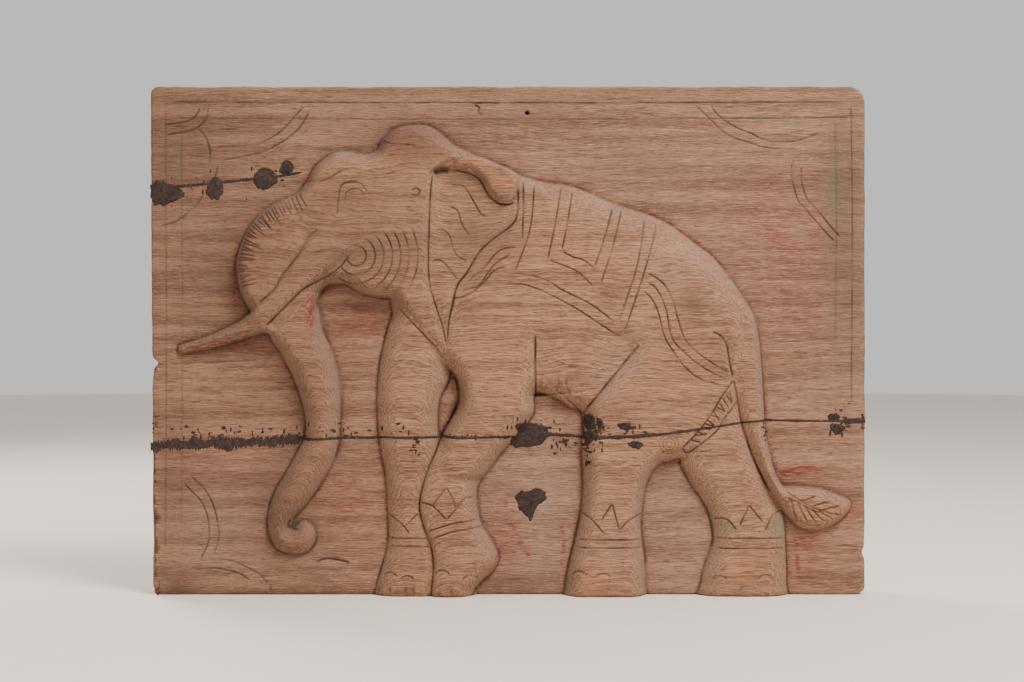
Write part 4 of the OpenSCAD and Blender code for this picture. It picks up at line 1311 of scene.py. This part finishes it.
def weathered_wood(carved):
    """Dry old teak: long dark pores, bands of heartwood, growth rings that lie near the face
    and show as contours where the carving cuts down through them, and the marks of the face,
    among them painted shade in the creases, the ear's pocket, the mouth's trough and the back's
    adze hollows, and a painted highlight on the adze strokes' ridges."""
    tones = bpy.context.scene.elephant_finish
    s = Shader("weathered_wood", Roughness=0.8, Specular_IOR_Level=0.22)
    warp = s.noise(190, 90, 46, 3.0, 0.5)
    depth = s.part("Y") * (1 / MM)
    rise = s.part("Z") * (1 / MM)
    wobble = s.noise(20, 5, 3.4, 2.0) * 1.1
    ring = ((depth * 0.42 + rise * 0.17 + warp * 8.0 + wobble) * TURN).math("SINE")
    hair = ((depth * 0.82 + rise * 0.36 + warp * 15.0 + wobble * 1.6) * TURN).math("SINE")
    pore = s.noise(15, 0.85, 0.75, 3.0, 0.62)
    fine = s.noise(5, 0.45, 0.42, 2.0, 0.6)
    band_of = s.noise(240, 16, 11, 3.0, 0.55)
    patch = s.noise(70, 40, 30, 3.0, 0.55)
    streak = (pore * 0.62 + fine * 0.38)
    pink = s.mix(colour(*tones.ground_dark), colour(*tones.ground_light),
                 band_of.above(0.35, 0.65))
    tan = s.mix(colour(*tones.figure_dark), colour(*tones.figure_light),
                band_of.above(0.35, 0.65))
    if not carved:
        s.feed("Base Color", s.mix(pink, colour(0.10, 0.05, 0.03), 1 - streak.above(0.36, 0.5)))
        s.bump(streak, 0.5, 0.5 * MM)
        return s.material
    slope_and_ridge_light = s.mark("slope_and_ridge_light")
    figure = s.mark("figure")
    base = s.mix(pink, tan, figure * 0.9)
    base = s.mix(base, colour(0.16, 0.075, 0.046), patch.above(0.5, 0.78) * 0.5)
    base = s.mix(base, colour(0.42, 0.285, 0.205), s.mark("pale") * 0.42)
    base = s.mix(base, colour(0.50, 0.165, 0.06), s.mark("bare") * patch.above(0.3, 0.6) * 0.7)
    speck = s.noise(2.2, 1.6, 1.5, 3.0, 0.65)
    # Grey on the steep carved slopes; on the back this mark is a painted highlight on the adze
    # strokes' ridges
    base = s.mix(base, colour(0.31, 0.20, 0.135), slope_and_ridge_light * (0.35 + fine * 0.5))
    base = s.mix(base, colour(0.085, 0.048, 0.030), slope_and_ridge_light * speck.above(0.5, 0.64) * 0.7)
    base = s.mix(base, colour(0.10, 0.046, 0.027), hair.above(0.1, 1.0) * (0.22 + figure * 0.26))
    base = s.mix(base, colour(0.50, 0.27, 0.155), ring.above(0.2, 1.0) * (0.1 + figure * 0.2))
    dark = 1 - streak.above(0.38, 0.485)
    base = s.mix(base, colour(0.075, 0.033, 0.021), dark * 0.78)
    light = streak.above(0.53, 0.64)
    base = s.mix(base, colour(0.60, 0.33, 0.20), light * 0.55)
    red = (s.mark("red") * 1.7 * s.noise(8, 3, 1.2, 3.0, 0.65).above(0.44, 0.57)
           * s.noise(30, 20, 12, 2.0).above(0.3, 0.5))
    base = s.mix(base, colour(*tones.red_paint), red.math("MINIMUM", 0.8))
    green = s.mark("green") * 1.3 * s.noise(10, 3, 1.6, 3.0, 0.6).above(0.4, 0.58)
    base = s.mix(base, colour(*tones.green_paint), green.math("MINIMUM", 0.65))
    # Dark stains, and painted shade in the mouth's trough, in the ear's pocket, under the lobe and
    # in the hollows of the back's adze strokes
    base = s.mix(base, colour(0.04, 0.022, 0.016),
                 s.mark("stain_and_shade") * (0.45 + 0.55 * pore.above(0.35, 0.62)) * 0.85)
    # Soiling in the cuts, and painted shade in the crease round the figure and in the ear's pocket
    base = s.mix(base, colour(0.03, 0.014, 0.009), s.mark("grime_and_shade").math("MINIMUM", 0.86))
    s.feed("Base Color", base)
    s.feed("Roughness", 0.72 + streak * 0.2)
    s.bump(streak * 1.4 + hair * 0.16 + ring * 0.08 + fine * 0.4, 0.8, 0.65 * MM)
    return s.material


def pitch_finish():
    """Old pitch: brown black, dull, crazed, with dust in its hollows."""
    tones = bpy.context.scene.elephant_finish
    s = Shader("pitch", Roughness=0.75, Specular_IOR_Level=0.3)
    lumps = s.noise(5, 5, 5, 4.0, 0.6)
    dust = s.noise(1.6, 1.6, 1.1, 3.0, 0.6)
    base = s.mix(colour(*tones.pitch_dark), colour(*tones.pitch_light), lumps.above(0.35, 0.7))
    base = s.mix(base, colour(0.17, 0.082, 0.05), dust.above(0.55, 0.72) * 0.7)
    s.feed("Base Color", base)
    s.feed("Roughness", 0.6 + dust * 0.35)
    s.bump(lumps * 0.5 + dust, 0.7, 0.6 * MM)
    return s.material


def pale_floor():
    """A plain pale floor."""
    tones = bpy.context.scene.elephant_finish
    s = Shader("pale_floor", Roughness=0.7, Specular_IOR_Level=0.2)
    shade = s.noise(400, 400, 400, 2.0)
    s.feed("Base Color", s.mix(colour(*tones.floor_dark), colour(*tones.floor_light), shade))
    return s.material


# ---- Settings ----

class CarvingSettings(bpy.types.PropertyGroup):
    """Sizes of the carving, in metres."""

    edge_round: bpy.props.FloatProperty(
        name="Edge round", description="Distance over which the carved edges are rounded",
        default=0.012, min=0.004, max=0.02, unit="LENGTH")
    line_width: bpy.props.FloatProperty(
        name="Line width", description="Width of the lines cut into the elephant",
        default=0.0019, min=0.001, max=0.004, unit="LENGTH")
    line_depth: bpy.props.FloatProperty(
        name="Line depth", description="Depth of the lines cut into the elephant",
        default=0.0013, min=0.0004, max=0.003, unit="LENGTH")
    wear: bpy.props.FloatProperty(
        name="Wear", description="How uneven the worn face is",
        default=1.0, min=0, max=3, subtype="FACTOR")


class PitchSettings(bpy.types.PropertyGroup):
    """Sizes of the pitch, in metres."""

    seam_width: bpy.props.FloatProperty(
        name="Seam width", description="Width of the filled joint line",
        default=0.0026, min=0.001, max=0.006, unit="LENGTH")
    smear_width: bpy.props.FloatProperty(
        name="Smear width", description="Width of the joint's thick left end",
        default=0.010, min=0.004, max=0.02, unit="LENGTH")
    proud: bpy.props.FloatProperty(
        name="Proud", description="How far the pitch stands out of the face",
        default=0.0005, min=0, max=0.002, unit="LENGTH")


class FinishSettings(bpy.types.PropertyGroup):
    """Colours of the wood, the paint, the pitch and the floor."""

    ground_dark: bpy.props.FloatVectorProperty(
        name="Ground, dark", description="Colour of the dark bands in the ground's wood",
        default=(0.195, 0.097, 0.057), min=0, max=1, subtype="COLOR")
    ground_light: bpy.props.FloatVectorProperty(
        name="Ground, light", description="Colour of the light bands in the ground's wood",
        default=(0.335, 0.174, 0.103), min=0, max=1, subtype="COLOR")
    figure_dark: bpy.props.FloatVectorProperty(
        name="Elephant, dark", description="Colour of the dark bands in the elephant's wood",
        default=(0.25, 0.122, 0.065), min=0, max=1, subtype="COLOR")
    figure_light: bpy.props.FloatVectorProperty(
        name="Elephant, light", description="Colour of the light bands in the elephant's wood",
        default=(0.385, 0.192, 0.102), min=0, max=1, subtype="COLOR")
    red_paint: bpy.props.FloatVectorProperty(
        name="Red paint", description="Colour of the traces of red paint",
        default=(0.19, 0.014, 0.016), min=0, max=1, subtype="COLOR")
    green_paint: bpy.props.FloatVectorProperty(
        name="Green paint", description="Colour of the traces of green paint",
        default=(0.11, 0.165, 0.085), min=0, max=1, subtype="COLOR")
    pitch_dark: bpy.props.FloatVectorProperty(
        name="Pitch, dark", description="Colour of the pitch where it is darkest",
        default=(0.018, 0.011, 0.01), min=0, max=1, subtype="COLOR")
    pitch_light: bpy.props.FloatVectorProperty(
        name="Pitch, light", description="Colour of the pitch where it is worn",
        default=(0.05, 0.027, 0.02), min=0, max=1, subtype="COLOR")
    floor_dark: bpy.props.FloatVectorProperty(
        name="Floor, dark", description="Darker colour of the floor",
        default=(0.8, 0.7, 0.59), min=0, max=1, subtype="COLOR")
    floor_light: bpy.props.FloatVectorProperty(
        name="Floor, light", description="Lighter colour of the floor",
        default=(0.85, 0.75, 0.65), min=0, max=1, subtype="COLOR")


class StageSettings(bpy.types.PropertyGroup):
    """The floor and the camera."""

    camera_distance: bpy.props.FloatProperty(
        name="Camera distance", description="Distance from the camera to the panel's ground",
        default=1.5, min=0.5, max=6, unit="LENGTH")
    camera_height: bpy.props.FloatProperty(
        name="Camera height", description="Height of the camera above the floor",
        default=0.254, min=0, max=2, unit="LENGTH")
    floor_radius: bpy.props.FloatProperty(
        name="Floor radius", description="Radius of the floor", default=6.0, min=1, max=20,
        unit="LENGTH")


def made_carving():
    """The map for the scene's sizes."""
    sizes = bpy.context.scene.elephant_carving
    lengths = (sizes.edge_round, sizes.line_width, sizes.line_depth)
    return carving(Cuts(*(round(value / MM, 4) for value in lengths), round(sizes.wear, 4)))


def dress(piece, node, material):
    """Gives a piece its finish, hangs it on the root body and hides the CAD node that it stands
    for.
    """
    piece.data.materials.clear()
    piece.data.materials.append(material)
    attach(piece, "root")
    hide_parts(node)


def lay(name, parts, node):
    """Makes one piece of pitch from its closed parts, in the place of a CAD node."""
    piece = new_object(name, *joined(parts))
    turned_right(piece)
    dress(piece, node, pitch_finish())


# ---- Operators ----

class PANEL_OT_boards(bpy.types.Operator):
    """Carves the two boards and drills their bores"""

    bl_idname = "panel.boards"
    bl_label = "Carve the boards"

    def execute(self, context):
        c = made_carving()
        wood = weathered_wood(True)
        for name, upper in (("upper_board", True), ("lower_board", False)):
            board = board_mesh(f"carved_{name}", c, upper)
            board.data.calc_loop_triangles()
            share = min(1.0, TRIANGLES / len(board.data.loop_triangles))
            finished(board, "DECIMATE", "thin", ratio=share, use_collapse_triangulate=True)
            keep_inside(board)
            bore(board, upper)
            mark_face(board, c)
            shade_smooth(board.data)
            dress(board, name, wood)
        return {"FINISHED"}


class PANEL_OT_dowels(bpy.types.Operator):
    """Shaves the dowels that cross the joint"""

    bl_idname = "panel.dowels"
    bl_label = "Shave the dowels"

    def execute(self, context):
        rng = np.random.default_rng(71)
        pegs = []
        angle = np.linspace(0, TURN, DOWEL_SIDES, endpoint=False)[None, :]
        rise = np.array([-1, -0.985, -0.96, -0.5, 0, 0.5, 0.96, 0.985, 1])[:, None]
        taper = np.array([0.72, 0.88, 1, 1, 1, 1, 1, 0.88, 0.72])[:, None]
        for x in dowel_places():
            facet = 1 - 0.035 * np.abs(np.sin(4 * angle + rng.uniform(0, 3)))
            r = DOWEL_RADIUS * taper * facet
            z = np.broadcast_to(joint_z(x) + rise * DOWEL_LENGTH / 2, r.shape)
            points = np.dstack([x + r * np.cos(angle), DOWEL_Y + r * np.sin(angle), z])
            index = np.arange(r.size).reshape(r.shape)
            faces = tube(index)[:, (0, 3, 2, 1)].tolist()
            caps = [index[0][::-1].tolist(), index[-1].tolist()]
            pegs.append((points.reshape(-1, 3), faces + caps))
        dowels = new_object("shaved_dowels", *joined(pegs))
        turned_right(dowels)
        dress(dowels, "joint_dowels", weathered_wood(False))
        return {"FINISHED"}


class PANEL_OT_seam_filler(bpy.types.Operator):
    """Presses the pitch into the joint line"""

    bl_idname = "panel.seam_filler"
    bl_label = "Fill the joint"

    def execute(self, context):
        c = made_carving()
        sizes = context.scene.elephant_pitch
        x = np.arange(-HALF + 0.6, HALF - 0.6, 0.7)
        line = np.column_stack([x, joint_z(x)])
        rng = np.random.default_rng(81)
        rough = rng.standard_normal((2, len(x)))
        slow = np.array([np.interp(x, np.arange(-360, 380, 9), rng.standard_normal(83))
                         for _ in range(2)])
        base = sizes.seam_width / MM / 2
        smear = sizes.smear_width / MM / 2
        thick = 1 - smooth((x - SMEAR_END) / SMEAR_FADE)
        thicker = sum(0.9 * np.exp(-((x - at) / wide) ** 2) for at, wide in THICK_SPOTS)
        widths = base * (1 + thicker) * (0.85 + 0.28 * slow + 0.12 * rough)
        ragged = smear * (0.95 + 0.34 * slow + 0.26 * rough)
        up, down = np.clip(widths + (ragged - widths) * thick, 0.35 * base, None)
        lay("pitch_seam", [bead(82, line, up, down, c, sizes.proud / MM)], "seam_filler")
        return {"FINISHED"}


class PANEL_OT_seam_dabs(bpy.types.Operator):
    """Lays the loose dabs and flecks of pitch beside the joint"""

    bl_idname = "panel.seam_dabs"
    bl_label = "Lay the dabs"

    def execute(self, context):
        c = made_carving()
        proud = context.scene.elephant_pitch.proud / MM
        rng = np.random.default_rng(91)
        lumps = [lump(outline, c, rng, proud * 1.4, LUMP_SINK, 0.2) for outline in DABS]
        lumps += flecks(rng, c, SEAM_FLECKS)
        lay("pitch_dabs", lumps, "seam_dabs")
        return {"FINISHED"}


class PANEL_OT_crack_filler(bpy.types.Operator):
    """Fills the drying crack at the upper left"""

    bl_idname = "panel.crack_filler"
    bl_label = "Fill the crack"

    def execute(self, context):
        c = made_carving()
        proud = context.scene.elephant_pitch.proud / MM
        rng = np.random.default_rng(101)
        crack = spline(CRACK, steps=44)
        widths = 1.3 + 0.35 * rng.standard_normal((2, len(crack)))
        end = smooth(np.linspace(9, 0, len(crack)))
        up, down = np.clip(widths, 0.5, None) * (0.25 + 0.75 * end)
        parts = [bead(102, crack, up, down, c, proud, 14)]
        parts += [lump(outline, c, rng, proud * 1.3, LUMP_SINK, 0.18) for outline in BLOBS]
        parts += flecks(rng, c, CRACK_FLECKS, (0.6, 1.6))
        lay("pitch_crack", parts, "crack_filler")
        return {"FINISHED"}


class PANEL_OT_knot_filler(bpy.types.Operator):
    """Presses the dark patch into the ground under the belly"""

    bl_idname = "panel.knot_filler"
    bl_label = "Patch the ground"

    def execute(self, context):
        c = made_carving()
        rng = np.random.default_rng(111)
        proud = context.scene.elephant_pitch.proud / MM
        lay("pitch_patch", [lump(KNOT, c, rng, proud * 1.3, LUMP_SINK, 0.16, 72)], "knot_filler")
        return {"FINISHED"}


class PANEL_OT_stage(bpy.types.Operator):
    """Sets up the pale floor, the soft lights and the camera"""

    bl_idname = "panel.stage"
    bl_label = "Set the stage"

    def execute(self, context):
        stage = context.scene.elephant_stage
        radius = stage.floor_radius / MM
        angle = np.linspace(0, TURN, FLOOR_SIDES, endpoint=False)[None, :]
        reach = radius * np.array([0.02, 0.2, 0.6, 1.0])[:, None]
        level = np.zeros((len(reach), FLOOR_SIDES))
        points = np.dstack([reach * np.cos(angle), reach * np.sin(angle), level])
        index = np.arange(reach.size * FLOOR_SIDES).reshape(-1, FLOOR_SIDES)
        faces = [*tube(index).tolist(), index[0].tolist()]
        floor = new_object("floor", points.reshape(-1, 3), faces)
        floor.data.materials.append(pale_floor())
        world = bpy.data.worlds.new("studio")
        context.scene.world = world
        world.use_nodes = True
        sky = world.node_tree.nodes["Background"]
        sky.inputs["Color"].default_value = (1.0, 1.0, 1.0, 1)
        sky.inputs["Strength"].default_value = SKY_STRENGTH
        for name, place, power in LAMPS:
            lamp = bpy.data.lights.new(name, "AREA")
            lamp.size = LAMP_SIZE
            lamp.energy = power
            light = bpy.data.objects.new(name, lamp)
            light.location = place
            light.rotation_euler = Vector(LAMP_AIM - place).to_track_quat("-Z", "Y").to_euler()
            context.scene.collection.objects.link(light)
        lens = bpy.data.cameras.new("camera")
        lens.lens = SENSOR_WIDTH * stage.camera_distance / FIELD_WIDTH
        camera = bpy.data.objects.new("camera", lens)
        camera.location = (CAMERA_X, GROUND * MM - stage.camera_distance, stage.camera_height)
        camera.rotation_euler = (np.pi / 2, 0, 0)
        context.scene.collection.objects.link(camera)
        context.scene.camera = camera
        return {"FINISHED"}


OPERATORS = (PANEL_OT_stage, PANEL_OT_boards, PANEL_OT_dowels, PANEL_OT_seam_filler,
             PANEL_OT_seam_dabs, PANEL_OT_crack_filler, PANEL_OT_knot_filler)


class PANEL_PT_carving(bpy.types.Panel):
    """Lists the pieces of the panel and their sizes"""

    bl_idname = "PANEL_PT_carving"
    bl_label = "Carved panel"
    bl_space_type = "VIEW_3D"
    bl_region_type = "UI"
    bl_category = "Panel"

    def draw(self, context):
        for settings in SETTINGS:
            group = getattr(context.scene, settings)
            box = self.layout.box()
            for name in group.bl_rna.properties.keys():
                if name not in ("rna_type", "name"):
                    box.prop(group, name)
        for operator in OPERATORS:
            self.layout.operator(operator.bl_idname)


SETTINGS = {"elephant_carving": CarvingSettings, "elephant_pitch": PitchSettings,
            "elephant_finish": FinishSettings, "elephant_stage": StageSettings}
CLASSES = (*SETTINGS.values(), *OPERATORS, PANEL_PT_carving)


def register():
    """Registers the classes and hangs the settings on the scene."""
    for cls in CLASSES:
        bpy.utils.register_class(cls)
    for name, group in SETTINGS.items():
        setattr(bpy.types.Scene, name, bpy.props.PointerProperty(type=group))


def unregister():
    """Takes the settings and the classes away again."""
    for name in SETTINGS:
        delattr(bpy.types.Scene, name)
    for cls in reversed(CLASSES):
        bpy.utils.unregister_class(cls)


def main():
    """Makes every piece in turn."""
    register()
    bpy.ops.panel.stage()
    bpy.ops.panel.boards()
    bpy.ops.panel.dowels()
    bpy.ops.panel.seam_filler()
    bpy.ops.panel.seam_dabs()
    bpy.ops.panel.crack_filler()
    bpy.ops.panel.knot_filler()


if __name__ == "__main__":
    main()
